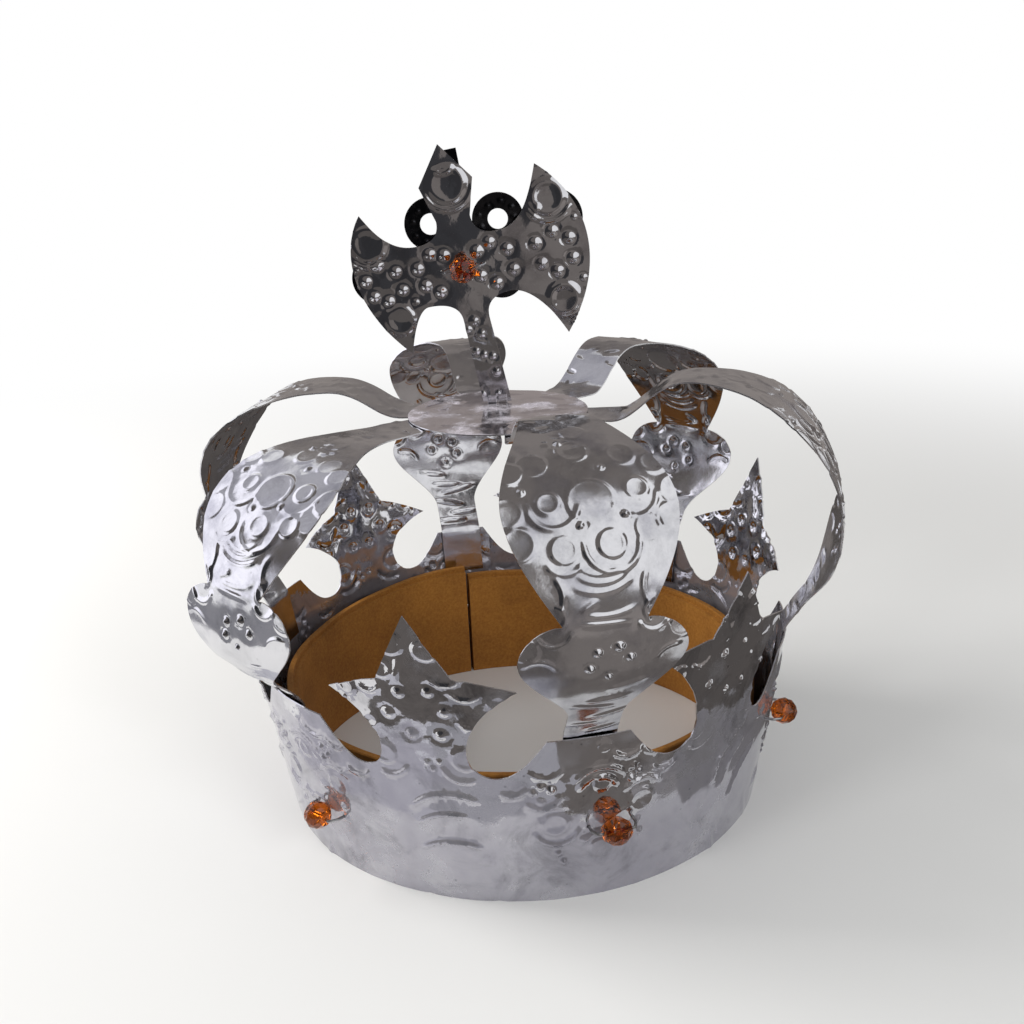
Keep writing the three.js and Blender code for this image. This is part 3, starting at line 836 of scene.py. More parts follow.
@dataclass
class Sheet:
    """A flat cut sheet with stamped marks, bent into its place. Lengths are millimetres.

    Attributes:
        name: The piece's name.
        node: The frame's node that it stands for.
        place: Turns flat places and lifts into points in space.
        marks: The stamped marks.
        solids: Outlines that hold metal.
        cuts: Outlines of holes in it.
        coarse: Mesh spacing away from the marks.
        fine: Mesh spacing on the marks.
        thickness: The sheet's thickness.
        wave: Depth of the slow unevenness.
        dent: Depth of the quick unevenness.
        seed: A number for the unevenness.
        border: Mesh spacing along the cuts, as a share of fine.
        clear: Room left beside the cuts, as a share of the spacing.
        sharp: Angle in degrees from which an edge is shown sharp.
    """

    name: str
    node: str
    place: Placing
    marks: Sequence[Mark]
    solids: Sequence[Loop]
    cuts: Sequence[Loop] = ()
    coarse: float = 1.9
    fine: float = 0.75
    thickness: float = SHEET
    wave: float = 0.7
    dent: float = 0.12
    seed: float = 0.0
    border: float = 1.3
    clear: float = 0.55
    sharp: float = 50.0

    def _keeps(self, places: np.ndarray) -> np.ndarray:
        """Tells which places are metal.

        Args:
            places: Places on the flat sheet.

        Returns:
            True for each place inside an outline and outside the cuts.
        """
        kept = np.any([within(loop, places) for loop in self.solids], axis=0)
        for loop in self.cuts:
            kept &= ~within(loop, places)
        return kept

    @staticmethod
    def _lattice(spacing: float, low: np.ndarray, high: np.ndarray) -> np.ndarray:
        """Lays out a lattice of places in even triangles.

        Args:
            spacing: Distance between neighbours.
            low: The lower left corner.
            high: The upper right corner.

        Returns:
            The places.
        """
        rows = np.arange(low[1], high[1], spacing * math.sqrt(0.75))
        across, along = np.meshgrid(np.arange(low[0], high[0], spacing), rows)
        across = across + (np.arange(len(rows)) % 2)[:, None] * spacing / 2.0
        return np.column_stack([across.ravel(), along.ravel()])

    def _places(self) -> tuple[np.ndarray, list[tuple[int, int]]]:
        """Lays out the flat mesh.

        Returns:
            Its points, and the edges along its outlines and cuts.
        """
        corners, edges = np.empty((0, 2)), []
        for loop in (*self.solids, *self.cuts):
            split = evenly(loop, self.fine * self.border)
            first, count = len(corners), len(split)
            edges += [(first + index, first + (index + 1) % count) for index in range(count)]
            corners = np.vstack([corners, split])
        tree = KDTree(len(corners))
        for index, (across, along) in enumerate(corners):
            tree.insert((across, along, 0.0), index)
        tree.balance()
        kept = [corners]
        for spacing, on_marks in ((self.fine, True), (self.coarse, False)):
            lattice = self._lattice(spacing, corners.min(0), corners.max(0))
            covered = np.any([mark.covers(lattice) for mark in self.marks], axis=0)
            lattice = lattice[covered == on_marks]
            lattice = lattice[self._keeps(lattice)]
            clear = [tree.find((x, y, 0.0))[2] > self.clear * spacing for x, y in lattice]
            kept.append(lattice[np.array(clear, bool)])
        return np.vstack(kept), edges

    def _thicken(self, surface: Piece, flat: np.ndarray, triangles: np.ndarray, lift: np.ndarray) -> Piece:
        """Turns the bent outer surface into a closed sheet and removes the surface.

        Args:
            surface: The outer surface, after its beating.
            flat: Its points on the flat sheet.
            triangles: Its triangles.
            lift: Each point's lift by the marks.

        Returns:
            The closed sheet, whose cut edges use the second material, whose pale colour is a painted
            highlight on the real cut edges.
        """
        front = np.empty(3 * len(flat))
        surface.data.vertices.foreach_get("co", front)
        front = front.reshape(-1, 3)
        outwards = self.place(flat, lift + 0.5) - self.place(flat, lift - 0.5)
        points = np.vstack([front, front - outwards * self.thickness * MM])
        points[:, 2] = np.maximum(points[:, 2], 0.0)
        edges = np.vstack([triangles[:, [0, 1]], triangles[:, [1, 2]], triangles[:, [2, 0]]])
        single = {(int(start), int(end)) for start, end in edges}
        rim = sorted((start, end) for start, end in single if (end, start) not in single)
        count = len(flat)
        faces = triangles.tolist() + (triangles[:, ::-1] + count).tolist()
        faces += [(end, start, start + count, end + count) for start, end in rim]
        bpy.data.objects.remove(surface)
        piece = new_piece(self.name, points, faces)
        on_rim = np.arange(len(faces)) >= 2 * len(triangles)
        piece.data.polygons.foreach_set("material_index", on_rim.astype(np.int32))
        return piece

    def build(self, shop: Workshop, material: Material, slot: str) -> Piece:
        """Cuts, stamps, bends and finishes the sheet.

        Args:
            shop: The shared trees and materials.
            material: The sheet's finish.
            slot: The name of the record's material slot; not used.

        Returns:
            The finished piece.
        """
        places, edges = self._places()
        points, _, faces, *_ = delaunay_2d_cdt([Vector(place) for place in places], edges, [], 0, POINT_WELD)
        flat = np.array([tuple(point) for point in points])
        triangles = np.array([face[:] for face in faces])
        triangles = triangles[self._keeps(flat[triangles].mean(axis=1))]
        used, numbers = np.unique(triangles, return_inverse=True)
        flat, triangles = flat[used], numbers.reshape(triangles.shape)
        LOG.info("%s: a flat sheet of %.1f x %.1f mm", self.name, *(flat.max(0) - flat.min(0)))
        lift = sum(mark.height(flat) for mark in self.marks)
        surface = new_piece(self.name, self.place(flat, lift) * MM, triangles.tolist())
        depths = {"Wave depth": self.wave * MM, "Dent depth": self.dent * MM}
        run_tree(surface, shop.trees.beating, {**depths, "Seed": self.seed, "Material": material})
        piece = self._thicken(surface, flat, triangles, lift)
        piece.data.materials.append(material)
        piece.data.materials.append(shop.cut_edge_highlight)
        piece.data.shade_smooth()
        piece.data.set_sharp_from_angle(angle=math.radians(self.sharp))
        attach(piece, "root")
        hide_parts(self.node)
        return piece


@dataclass
class HeadBand:
    """The flared ring with star points, round notches and level strap seats.

    Places on a star are distances from its middle and heights above the rim.

    Attributes:
        rim_radius: Outside radius at the bottom rim.
        flare: How much the radius grows with each millimetre of height.
        seat: Height of the level seats behind which the straps go down.
        notch: Height of the lowest place of a round notch.
        apex: Height of a star's top.
        armpit: The star's inner corner between its top and its side tip.
        tip: Its side tip.
        tip_rise: How far a raised tip stands above the usual one.
        neck: Its narrowest place, above the notch.
        reach: How far from the star's middle a notch ends at most.
        seat_margin: Seat that is left at least beside a strap's root.
        root_width: Width of a strap's root.
        notch_share: Where the notch is lowest, as a share of its width.
        flat_radius: Radius that turns azimuths into places across the flat strip.
        seam: Azimuth of the closing seam, in degrees.
        lap: How far the strip's end laps over its start, in degrees.
        lap_ease: Degrees before the seam over which the lapped end lifts.
        lap_lift: How far it lifts.
        crescent_place: Where a star's crescents stand, from its middle at the rim.
        crescent_turns: How far each star's crescents are turned, in degrees.
        rim_creases: Number of the loose creases along the rim, whose ranges follow.
        stars: Each star's azimuth, and the shares of tip_rise at its left and right tip.
        bead_shares: Each bead's azimuth, and its height as a share of the seat's.
    """

    rim_radius: float = 90.0
    flare: float = 0.16
    seat: float = 64.5
    notch: float = 51.0
    apex: float = 109.5
    armpit: Point = (12.5, 85.5)
    tip: Point = (32.0, 78.5)
    tip_rise: float = 5.0
    neck: Point = (14.3, 60.5)
    reach: float = 39.5
    seat_margin: float = 2.0
    root_width: float = 17.4
    notch_share: float = 0.33
    curve_steps: int = 12
    flat_radius: float = 98.0
    seam: float = 186.8
    lap: float = 3.0
    lap_ease: float = 1.5
    lap_lift: float = 0.65
    crescent_place: Point = (5.0, 41.0)
    crescent_turns: Sequence[float] = (0.0, 40.0, 44.0, 8.0, -6.0, 30.0)
    rim_creases: int = 40
    crease_heights: Point = (0.0, 9.0)
    crease_reaches: Point = (4.0, 10.0)
    crease_turns: Point = (60.0, 120.0)
    crease_rises: Point = (-0.5, 0.6)
    crease_width: float = 1.6
    stars: Sequence[tuple[float, float, float]] = (
        (-18.5, 0.0, 1.0),
        (42.0, 1.7, 1.0),
        (112.5, -1.0, -0.4),
        (167.0, 0.0, 0.0),
        (221.5, -0.6, -0.6),
        (279.0, 0.0, 0.0),
    )
    strap_azimuths: Sequence[float] = (12.0, 77.5, 140.0, 194.3, 256.0, 308.5)
    bead_shares: Sequence[Point] = (
        (16.5, 0.455),
        (69, 0.575),
        (134, 0.45),
        (199, 0.45),
        (250, 0.465),
        (314, 0.355),
    )

    @property
    def beads(self) -> list[Point]:
        """Returns each bead's azimuth and height."""
        return [(azimuth, self.seat * share) for azimuth, share in self.bead_shares]

    def radius(self, height: np.ndarray | float) -> np.ndarray | float:
        """Returns the outside radius at a height."""
        return self.rim_radius + self.flare * height

    def _side(self, azimuth: float, side: int, lifted: float, reach: float) -> list[Point]:
        """Returns one side of a star, from its apex down to its notch and up to the seat.

        Args:
            azimuth: The star's middle, in degrees.
            side: 1 to the right and -1 to the left.
            lifted: How far the tip is raised, as a share of tip_rise.
            reach: Distance from the star's middle to the end of its notch.

        Returns:
            Points of azimuth and height.
        """
        rise = self.tip_rise * lifted
        tip = (self.tip[0], self.tip[1] + rise)
        armpit = (self.armpit[0], self.armpit[1] + rise / 2.0)
        neck = self.neck
        dip = (neck[0] + (reach - neck[0]) * self.notch_share, self.notch)
        seat = (reach, self.seat)
        curves = (
            (armpit, between(armpit, tip, 0.4, 0.25), tip),
            (tip, between(neck, tip, 0.72, 0.92), between(neck, tip, 0.0, 0.5), neck),
            (neck, between(neck, dip, 0.0, 0.6), between(neck, dip, 0.4, 1.0), dip),
            (dip, between(dip, seat, 0.38, 0.0), between(dip, seat, 0.68, 0.48), seat),
        )
        drawn = [bezier(points, self.curve_steps)[1:] for points in curves]
        drawn = np.vstack([(0.0, self.apex), armpit, *drawn])
        turned = azimuth + side * np.degrees(drawn[:, 0] / self.radius(drawn[:, 1]))
        return list(zip(turned.tolist(), drawn[:, 1].tolist()))

    def _reach(self, star: float, strap: float) -> float:
        """Finds how far a star's notch runs before it meets the strap's seat.

        Args:
            star: The star's azimuth, in degrees.
            strap: The strap's azimuth.

        Returns:
            The distance from the star's middle.
        """
        turn = abs((strap - star + FULL_TURN / 2.0) % FULL_TURN - FULL_TURN / 2.0)
        room = math.radians(turn) * self.radius(self.seat)
        return min(self.reach, room - self.root_width / 2.0 - self.seat_margin)

    def _past_seam(self, azimuth: float) -> float:
        """Returns an azimuth in the turn that starts at the seam."""
        azimuth %= FULL_TURN
        return azimuth + (azimuth < self.seam) * FULL_TURN

    def _flat(self, azimuth: float) -> float:
        """Returns the place across the flat strip for an azimuth."""
        return float(np.radians(azimuth) * self.flat_radius)

    def _outline(self) -> Loop:
        """Draws the strip's cut outline, from its start at the seam to its lapped end.

        Returns:
            The closed outline.
        """
        straps = [strap + turn for strap in self.strap_azimuths for turn in (0.0, FULL_TURN)]
        top: list[Point] = []
        for azimuth, left, right in sorted((self._past_seam(star), *tips) for star, *tips in self.stars):
            before = max(strap for strap in straps if strap < azimuth)
            after = min(strap for strap in straps if strap > azimuth)
            last_side = self._side(azimuth, 1, right, self._reach(azimuth, after))
            top += self._side(azimuth, -1, left, self._reach(azimuth, before))[::-1]
            top += last_side[1:]
        last_curve = last_side[-self.curve_steps - 1 :]
        wrapped = [(azimuth - FULL_TURN, height) for azimuth, height in last_curve]
        start = [point for point in wrapped if point[0] > self.seam]
        end = self.seam + FULL_TURN + self.lap
        outline = [(self.seam, 0.0), (end, 0.0), (end, self.seat), *top[::-1], *start[::-1]]
        outline.append((self.seam, start[0][1]))
        return np.array([(self._flat(azimuth), height) for azimuth, height in outline])

    def _holes(self) -> list[Loop]:
        """Places the wire holes beside the beads.

        Returns:
            The holes' loops.
        """
        holes = []
        for azimuth, height in self.beads:
            for side in (-1, 1):
                across = math.degrees(math.asin(side * HOLE_SPREAD / self.radius(height)))
                holes.append(wire_hole(self._flat(self._past_seam(azimuth) + across), height))
        return holes

    def _place(self, flat: np.ndarray, lift: np.ndarray) -> np.ndarray:
        """Bends the flat strip into the flared ring, its lapped end on top.

        Args:
            flat: Places on the flat sheet.
            lift: Each place's lift by the marks.

        Returns:
            The places in space.
        """
        turn = flat[:, 0] / self.flat_radius
        height = flat[:, 1]
        past = (np.degrees(turn) - self.seam - FULL_TURN + self.lap_ease) / self.lap_ease
        lift = lift + self.lap_lift * smooth(past)
        slope = math.hypot(1.0, self.flare)
        radius = self.radius(height) + lift / slope
        height = height - lift * self.flare / slope
        return np.column_stack([radius * np.sin(turn), -radius * np.cos(turn), height])

    @staticmethod
    def _star_marks() -> list[Mark]:
        """Sets out the stamps of one star.

        Returns:
            The stamps, with the star's middle at 0.
        """
        balls = ((-5.0, 82, 1.9), (4, 82.7, 1.9), (8.7, 76.2, 2), (6.2, 67.7, 2), (-2.4, 67, 1.8))
        small = ((0.5, 55.5, 1.2), (3.2, 54.2, 1.1), (5.2, 56.2, 1.1), (-25, 77, 1.2), (23, 74.5, 1.1))
        upper = ((-5, 99.5, 3.8), (-9.5, 91, 3.4), (5, 98.5, 3.2), (-22.5, 80.5, 2.8), (25, 80.5, 3.0))
        bows = ((9.5, 91.5, 5.2, 200, 160), (15.5, 86, 5, 190, 150), (-15, 85, 4, 200, 150))
        low_bows = ((-12, 56.5, 7, 230, 120), (12, 56.5, 7, 190, 120), (-26, 51, 5.5, 200, 130))
        return [
            *domes((*balls, (-9.7, 73.3, 1.9)), 0.9),
            *domes(small, 0.6),
            *discs(upper, 0.9),
            *discs(((-13.2, 58, 4.0), (13.2, 58, 4.0), (-16, 69.5, 2.8)), 0.8),
            *creases(((14.5, 72, 6, 112), (20, 70.5, 5, 58), (-4, 90, 5, 75)), 0.8),
            *arcs((*bows, (18, 79, 8, 215, 110)), 0.75),
            *arcs((*low_bows, (27, 50, 5.5, 215, 120)), 0.75),
        ]

    @staticmethod
    def _seat_marks() -> list[Mark]:
        """Sets out the stamps below one strap.

        Returns:
            The stamps, with the strap's middle at 0.
        """
        high = ((14.4, 50.5, 1.6), (17, 48, 1.5), (13.6, 45.6, 1.5), (-15.5, 48, 1.6), (-12.8, 45.4, 1.5))
        low = ((-16, 42, 1.6), (-18.6, 45, 1.3), (-10.7, 19, 1.6), (-8.2, 15.4, 1.6), (18.1, 28, 1.5))
        rounds = ((-10.9, 31.7, 4.2), (3.8, 60.3, 1.7), (3.5, 46.5, 2.6), (18.6, 36.5, 4.4), (3.8, 19.5, 3.4))
        bows = ((3.0, 43.2, 6.6, 5, 170), (-11, 31.5, 8.2, 195, 150), (18.6, 36.5, 8.4, 30, 120))
        wide_bows = ((3.0, 43.2, 9.4, 20, 140), (-13.5, 56.5, 6.0, 200, 140), (12.5, 60.5, 5.5, 195, 140))
        lines = ((-11, 38.5, 4, 4), (11, 33, 3, 20), (-2, 25, 3, -15), (24, 44, 4, 35), (-20, 12, 5, 30))
        return [
            *domes(high, 1.1),
            *domes((*low, (18.8, 22.3, 1.6)), 0.9),
            *discs(rounds, 0.75),
            *arcs((*bows, (-15.7, 45, 6.2, 205, 150)), 0.8),
            *arcs(wide_bows, 0.7),
            *arcs(((3.8, 19.5, 6.5, 20, 140), (22, 58.5, 5, 200, 120)), 0.7),
            *creases(lines, 0.6),
        ]

    def marks(self) -> list[Mark]:
        """Sets out every stamp of the band.

        Returns:
            The stamps on the flat strip.
        """
        made: list[Mark] = []
        crescents = arcs(((2.4, -15, 18, 55, 91), (2.4, -23, 18, 68, 72), (2.5, -38.6, 22, 62, 68)), 0.8)
        across, along = self.crescent_place
        for index, ((azimuth, _, _), turn) in enumerate(zip(self.stars, self.crescent_turns)):
            middle = self._flat(self._past_seam(azimuth))
            made += [mark.moved(middle, 0.0) for mark in by_hand(self._star_marks(), 10 + index)]
            made += [mark.moved(middle + across, along, turn) for mark in crescents]
        for index, azimuth in enumerate(self.strap_azimuths):
            middle = self._flat(self._past_seam(azimuth))
            made += [mark.moved(middle, 0.0) for mark in by_hand(self._seat_marks(), 30 + index)]
        chance = random.Random(5)
        strip = FULL_TURN / self.rim_creases
        for index in range(self.rim_creases):
            across = self._flat(self.seam + (index + chance.random()) * strip)
            direction = chance.uniform(*self.crease_turns)
            height, reach = chance.uniform(*self.crease_heights), chance.uniform(*self.crease_reaches)
            rise = chance.uniform(*self.crease_rises)
            made.append(Mark(MarkKind.CREASE, across, height, reach, rise, self.crease_width, direction))
        return made

    def build(self, shop: Workshop) -> list[Piece]:
        """Builds the band.

        Args:
            shop: The shared trees and materials.

        Returns:
            The band's piece.
        """
        sheet = Sheet(
            "band_sheet",
            "head_band",
            self._place,
            self.marks(),
            [self._outline()],
            self._holes(),
            coarse=2.4,
            fine=0.8,
            wave=1.0,
            dent=0.16,
            seed=1.0,
        )
        return [sheet.build(shop, shop.band_metal, "sheet_metal")]


@dataclass
class Strap:
    """One arched strap, from its foot inside the band to the hub.

    Attributes:
        number: The strap's number, from the front round by the right.
        band: The band that it stands in.
        azimuth: Where its foot stands, in degrees.
        turn: How far it is twisted about its foot, in degrees.
        bulge_share: Height of its widest reach, as a share of the usual one.
        crest_share: Rise of its top above the hub, as a share of the usual one.
        end_share: Radius of its end on the hub, as a share of the usual one.
        foot: Length of the foot that the band hides.
        bulge: Radius and height of its widest reach.
        crest_radius: Radius of its top.
        crest_rise: Usual height of its top above the hub.
        turn_rise: Height above the seat over which the twist sets in.
        landing: Radius at which it comes down to the hub.
        end: Usual radius of its end.
        flat_share: Share of its length above which it is flat across.
        widths: Distances along it from the band's edge, each with the width there.
        ease: How soon the belly narrows to the ribbon.
        set_in: How far the stamped sheet is drawn in, so that its marks stay in the outline.
        station: Distance between the points of its outline.
        ribbon_creases: Number of the loose creases on its ribbon, whose ranges follow.
    """

    number: int
    band: HeadBand
    azimuth: float
    turn: float = 0.0
    bulge_share: float = 1.0
    crest_share: float = 1.0
    end_share: float = 1.0
    foot: float = 18.5
    bulge: Point = (118.7, 106.0)
    crest_radius: float = 66.0
    crest_rise: float = 13.1
    turn_rise: float = 20.0
    landing: float = 38.0
    end: float = 20.0
    root_handle: float = 11.8
    bulge_handles: Point = (18.0, 28.0)
    crest_handles: Point = (34.0, 14.0)
    landing_handle: float = 10.0
    flat_share: float = 0.75
    widths: Sequence[Point] = ((0, 17.4), (13, 17.4), (40, 51.0), (51.5, 25.0), (86, 52.0), (147, 20.0))
    end_width: float = 12.0
    ease: float = 1.35
    set_in: float = 0.4
    station: float = 1.2
    neck_stations: int = 22
    root_lean: float = 0.5
    spine_steps: Sequence[int] = (8, 80, 120, 50, 8)
    ribbon_creases: int = 26
    crease_start: float = 126.0
    crease_spacing: float = 2.1
    crease_spread: float = 9.0
    crease_shift: float = 1.5
    crease_reaches: Point = (1.6, 4.2)
    crease_rises: Point = (-0.5, 0.5)
    crease_widths: Point = (0.8, 1.5)
    crease_turn: float = 28.0

    def spine(self) -> np.ndarray:
        """Draws the strap's middle line.

        Returns:
            Its points, as distance along it, radius and height.
        """
        inset = SHEET + GAP + SHEET / 2.0
        level = HUB_TOP - inset
        low, seat = self.band.seat - self.foot, self.band.seat
        foot = (self.band.radius(low) - inset, low)
        root = (self.band.radius(seat) - inset, seat)
        lean = np.array((self.root_lean, 1.0)) / math.hypot(self.root_lean, 1.0)
        bulge = (self.bulge[0], self.bulge[1] * self.bulge_share)
        crest = (self.crest_radius, HUB_TOP + self.crest_rise * self.crest_share)
        landing = (self.landing, level)
        below, above = self.bulge_handles
        outer, inner = self.crest_handles
        curves = (
            (foot, root),
            (root, tuple(root + lean * self.root_handle), (bulge[0], bulge[1] - below), bulge),
            (bulge, (bulge[0], bulge[1] + above), (crest[0] + outer, crest[1]), crest),
            (crest, (crest[0] - inner, crest[1]), (self.landing + self.landing_handle, level), landing),
            (landing, (self.end * self.end_share, level)),
        )
        drawn = [bezier(points, steps)[1:] for points, steps in zip(curves, self.spine_steps)]
        line = np.vstack([foot, *drawn])
        lengths = np.linalg.norm(np.diff(line, axis=0), axis=1)
        return np.column_stack([np.concatenate([[0.0], np.cumsum(lengths)]), line])

    def half_width(self, along: np.ndarray, length: float) -> np.ndarray:
        """Works out the strap's width.

        Args:
            along: Distances along the strap.
            length: The strap's whole length.

        Returns:
            Half of the width at each distance.
        """
        (_, root), (rise, _), (ear, wide), (neck, narrow), (belly, broad), (ribbon, slim) = self.widths
        past = along - self.foot
        width = np.full(len(along), root)
        stretches = (
            (rise, ear, root, wide, smooth),
            (ear, neck, narrow, wide, lambda share: np.sqrt(1.0 - share**2)),
            (neck, belly, narrow, broad, lambda share: np.sin(share * math.pi / 2.0)),
            (belly, ribbon, broad, slim, lambda share: smooth(1.0 - (1.0 - share) ** self.ease)),
        )
        for first, last, low, high, eased in stretches:
            share = np.clip((past - first) / (last - first), 0.0, 1.0)
            width = np.where(past > first, low + (high - low) * eased(share), width)
        last = length - (self.landing - self.end * self.end_share)
        share = (along - last) / (length - last)
        width = np.where(along > last, slim + (self.end_width - slim) * share, width)
        return width / 2.0

    def _outline(self, length: float) -> Loop:
        """Draws the strap's cut outline on the flat sheet.

        Args:
            length: The strap's whole length.

        Returns:
            The closed outline.
        """
        ear, neck = (self.foot + self.widths[index][0] for index in (2, 3))
        turn = np.linspace(0.0, math.pi / 2.0, self.neck_stations)
        lower = np.arange(0.0, ear, self.station)
        upper = np.arange(neck + self.station / 4.0, length, self.station)
        stations = np.concatenate([lower, ear + (neck - ear) * np.sin(turn), upper, [length]])
        half = self.half_width(stations, length)
        left = np.column_stack([-half, stations])
        return np.vstack([np.column_stack([half, stations]), left[::-1]])

    @staticmethod
    def _pattern() -> list[Mark]:
        """Sets out the stamps that all straps have, on the belly, neck, ears and root.

        Returns:
            The stamps.
        """
        middle = ((0.5, 105.5, 7.0), (-12, 106, 3.4), (14, 108, 3.4), (4, 92.5, 3.9), (-10.5, 91.5, 3.8))
        upper = ((-1, 124, 4.6), (-13.5, 120, 4.2), (-21.5, 117.5, 3.8), (12.5, 121, 4.4), (21, 117, 4.0))
        sides = ((-25, 105, 4.8), (-22.5, 95.5, 4.8), (25.5, 106.5, 4.8), (22.5, 98, 4.4))
        bows = ((-11.5, 105, 7.4, 165, 190), (13.5, 106.5, 7.0, 195, 175), (4, 92.5, 8.2, 165, 215))
        balls = ((-3.6, 98.5, 1.3), (8.8, 100.4, 1.2), (-19, 111.5, 1.3), (5.5, 117, 1.2), (-3.5, 128.5, 1.4))
        folds = ((0, 93, 9.0, 218, 104), (0, 93, 11.6, 222, 96), (0, 93, 14.4, 226, 88))
        waist = ((-20, 79, 8.5, -48, 96), (20, 79, 8.5, 132, 96), (-15, 72.5, 3.6, -70, 160))
        ears = ((-15.5, 69.5, 5.6, 190, 165), (14.5, 70, 4.6, 190, 165), (-20, 53, 6.5, 20, 120))
        dots = ((-2.5, 60.5, 1.5), (4.2, 62.2, 1.6), (7.6, 58.2, 1.4), (-4.5, 55.2, 1.4), (1.2, 51.5, 1.0))
        root = ((8, 46.5, 6, 12), (3, 41, 7, 8), (-2, 37.5, 8, -6), (4, 32.5, 7, 10), (-3, 27.5, 7, -4))
        return [
            *discs((*middle, (15.5, 95.5, 3.6)), 0.55),
            *discs((*upper, (2, 134, 3.6)), 0.42),
            *discs(sides, 0.45),
            *arcs((*bows, (-10.5, 91.5, 6.4, 200, 130)), 0.42),
            *domes(balls, 0.7),
            *arcs((*folds, (0, 92, 20.5, 245, 50)), 0.28),
            *arcs((*waist, (15, 72.5, 3.6, 90, 160)), 0.5),
            *creases(((0, 69.8, 8, 0), (-5, 75, 3, 25)), 0.45),
            *discs(((-22.5, 63.5, 3.4), (23.5, 66.0, 4.4)), 0.55),
            *arcs((*ears, (21, 53, 6.5, 60, 110)), 0.45),
            *domes(dots, 1.1),
            *creases((*root, (3, 23.5, 6, 6)), 0.5),
        ]

    def marks(self) -> list[Mark]:
        """Sets out the strap's stamps, and the creases of its ribbon.

        Returns:
            The stamps on the flat sheet.
        """
        chance = random.Random(100 + self.number)
        spread, shift, turn = self.crease_spread, self.crease_shift, self.crease_turn
        ribbon = [
            Mark(
                MarkKind.CREASE,
                chance.uniform(-spread, spread),
                self.crease_start + self.crease_spacing * index + chance.uniform(-shift, shift),
                chance.uniform(*self.crease_reaches),
                chance.uniform(*self.crease_rises),
                chance.uniform(*self.crease_widths),
                chance.uniform(-turn, turn),
            )
            for index in range(self.ribbon_creases)
        ]
        return by_hand(self._pattern(), 50 + self.number) + ribbon

    def build(self, shop: Workshop) -> list[Piece]:
        """Builds the strap.

        Args:
            shop: The shared trees and materials.

        Returns:
            The strap's piece.
        """
        line = self.spine()
        length = float(line[-1, 0])
        tangent = np.gradient(line[:, 1:], line[:, 0], axis=0)
        tangent /= np.linalg.norm(tangent, axis=1)[:, None]
        turn = math.radians(self.azimuth)
        seat_radius = self.band.radius(self.band.seat)

        def place(flat: np.ndarray, lift: np.ndarray) -> np.ndarray:
            """Bends the flat strip along its arch and twists it about its foot.

            Args:
                flat: Places on the flat sheet.
                lift: Each place's lift by the marks.

            Returns:
                The places in space.
            """
            across, along = flat[:, 0], flat[:, 1]
            columns = (line[:, 1], line[:, 2], tangent[:, 0], tangent[:, 1])
            radius, height, out, up = (np.interp(along, line[:, 0], column) for column in columns)
            curve = np.clip(1.0 - along / length / self.flat_share, 0.0, 1.0) / seat_radius
            shift = SHEET / 2.0 - self.set_in + lift - across * across * curve / 2.0
            radius, height = radius + up * shift, height - out * shift
            twist = math.radians(self.turn) * smooth((height - self.band.seat) / self.turn_rise)
            cosine, sine = np.cos(twist), np.sin(twist)
            inward = seat_radius - radius
            radius = seat_radius - (across * sine + inward * cosine)
            across = across * cosine - inward * sine
            x = across * math.cos(turn) + radius * math.sin(turn)
            y = across * math.sin(turn) - radius * math.cos(turn)
            return np.column_stack([x, y, height])

        sheet = Sheet(
            f"strap_sheet_{self.number}",
            f"strap_{self.number}",
            place,
            self.marks(),
            [self._outline(length)],
            fine=0.55,
            wave=0.8,
            dent=0.14,
            seed=10.0 + self.number,
        )
        return [sheet.build(shop, shop.metal, "sheet_metal")]


@dataclass
class Hub:
    """The round plate on the straps' ends, with the slot for the axe's tongue."""

    radius: float = 32.5
    offset: float = 4.0
    slot: tuple[float, float, float, float] = (-3.8, 11.3, 3.8, 12.7)
    sides: int = 160
    mark_share: float = 0.8
    sunk: float = 0.3
    droop: float = 0.12

    def _place(self, flat: np.ndarray, lift: np.ndarray) -> np.ndarray:
        """Lays the disc on the hub, its rim turned down a little.

        Args:
            flat: Places on the flat sheet.
            lift: Each place's lift by the marks.

        Returns:
            The places in space.
        """
        away = np.hypot(flat[:, 0], flat[:, 1]) / self.radius
        height = HUB_TOP + self.mark_share * lift - self.sunk - self.droop * away**6
        return np.column_stack([flat[:, 0] - self.offset, flat[:, 1], height])

    def build(self, shop: Workshop) -> list[Piece]:
        """Builds the disc.

        Args:
            shop: The shared trees and materials.

        Returns:
            The disc's piece.
        """
        right = ((16, -3, 10, 8), (22, 4, 7, -10), (14, 8, 6, 5), (25, -10, 5, 30), (-22, 12, 6, 40))
        left = ((10, -16, 8, 15), (-12, -22, 9, -20), (-27, -4, 6, 80), (2, 24, 8, 4), (20, 16, 6, -35))
        rounds = discs(((18, -14, 4), (-16, 17, 3.5), (6, -24, 3.2)), 0.6)
        sheet = Sheet(
            "hub_sheet",
            "hub_disc",
            self._place,
            creases(right, 0.6) + creases(left, 0.55) + rounds,
            [circle(0.0, 0.0, self.radius, self.sides)],
            [box_loop(*self.slot)],
            coarse=1.5,
            wave=0.5,
            dent=0.2,
            seed=30.0,
        )
        return [sheet.build(shop, shop.hub_metal, "sheet_metal")]


@dataclass(frozen=True)
class Blade:
    """One blade of the axe, measured from the bead at its centre.

    Attributes:
        reach: Distance to the middle of its edge.
        middle: Height of that middle.
        tip: Its upper tip.
        heel: Its lower tip, with the height taken downwards.
    """

    reach: float
    middle: float
    tip: Point
    heel: Point


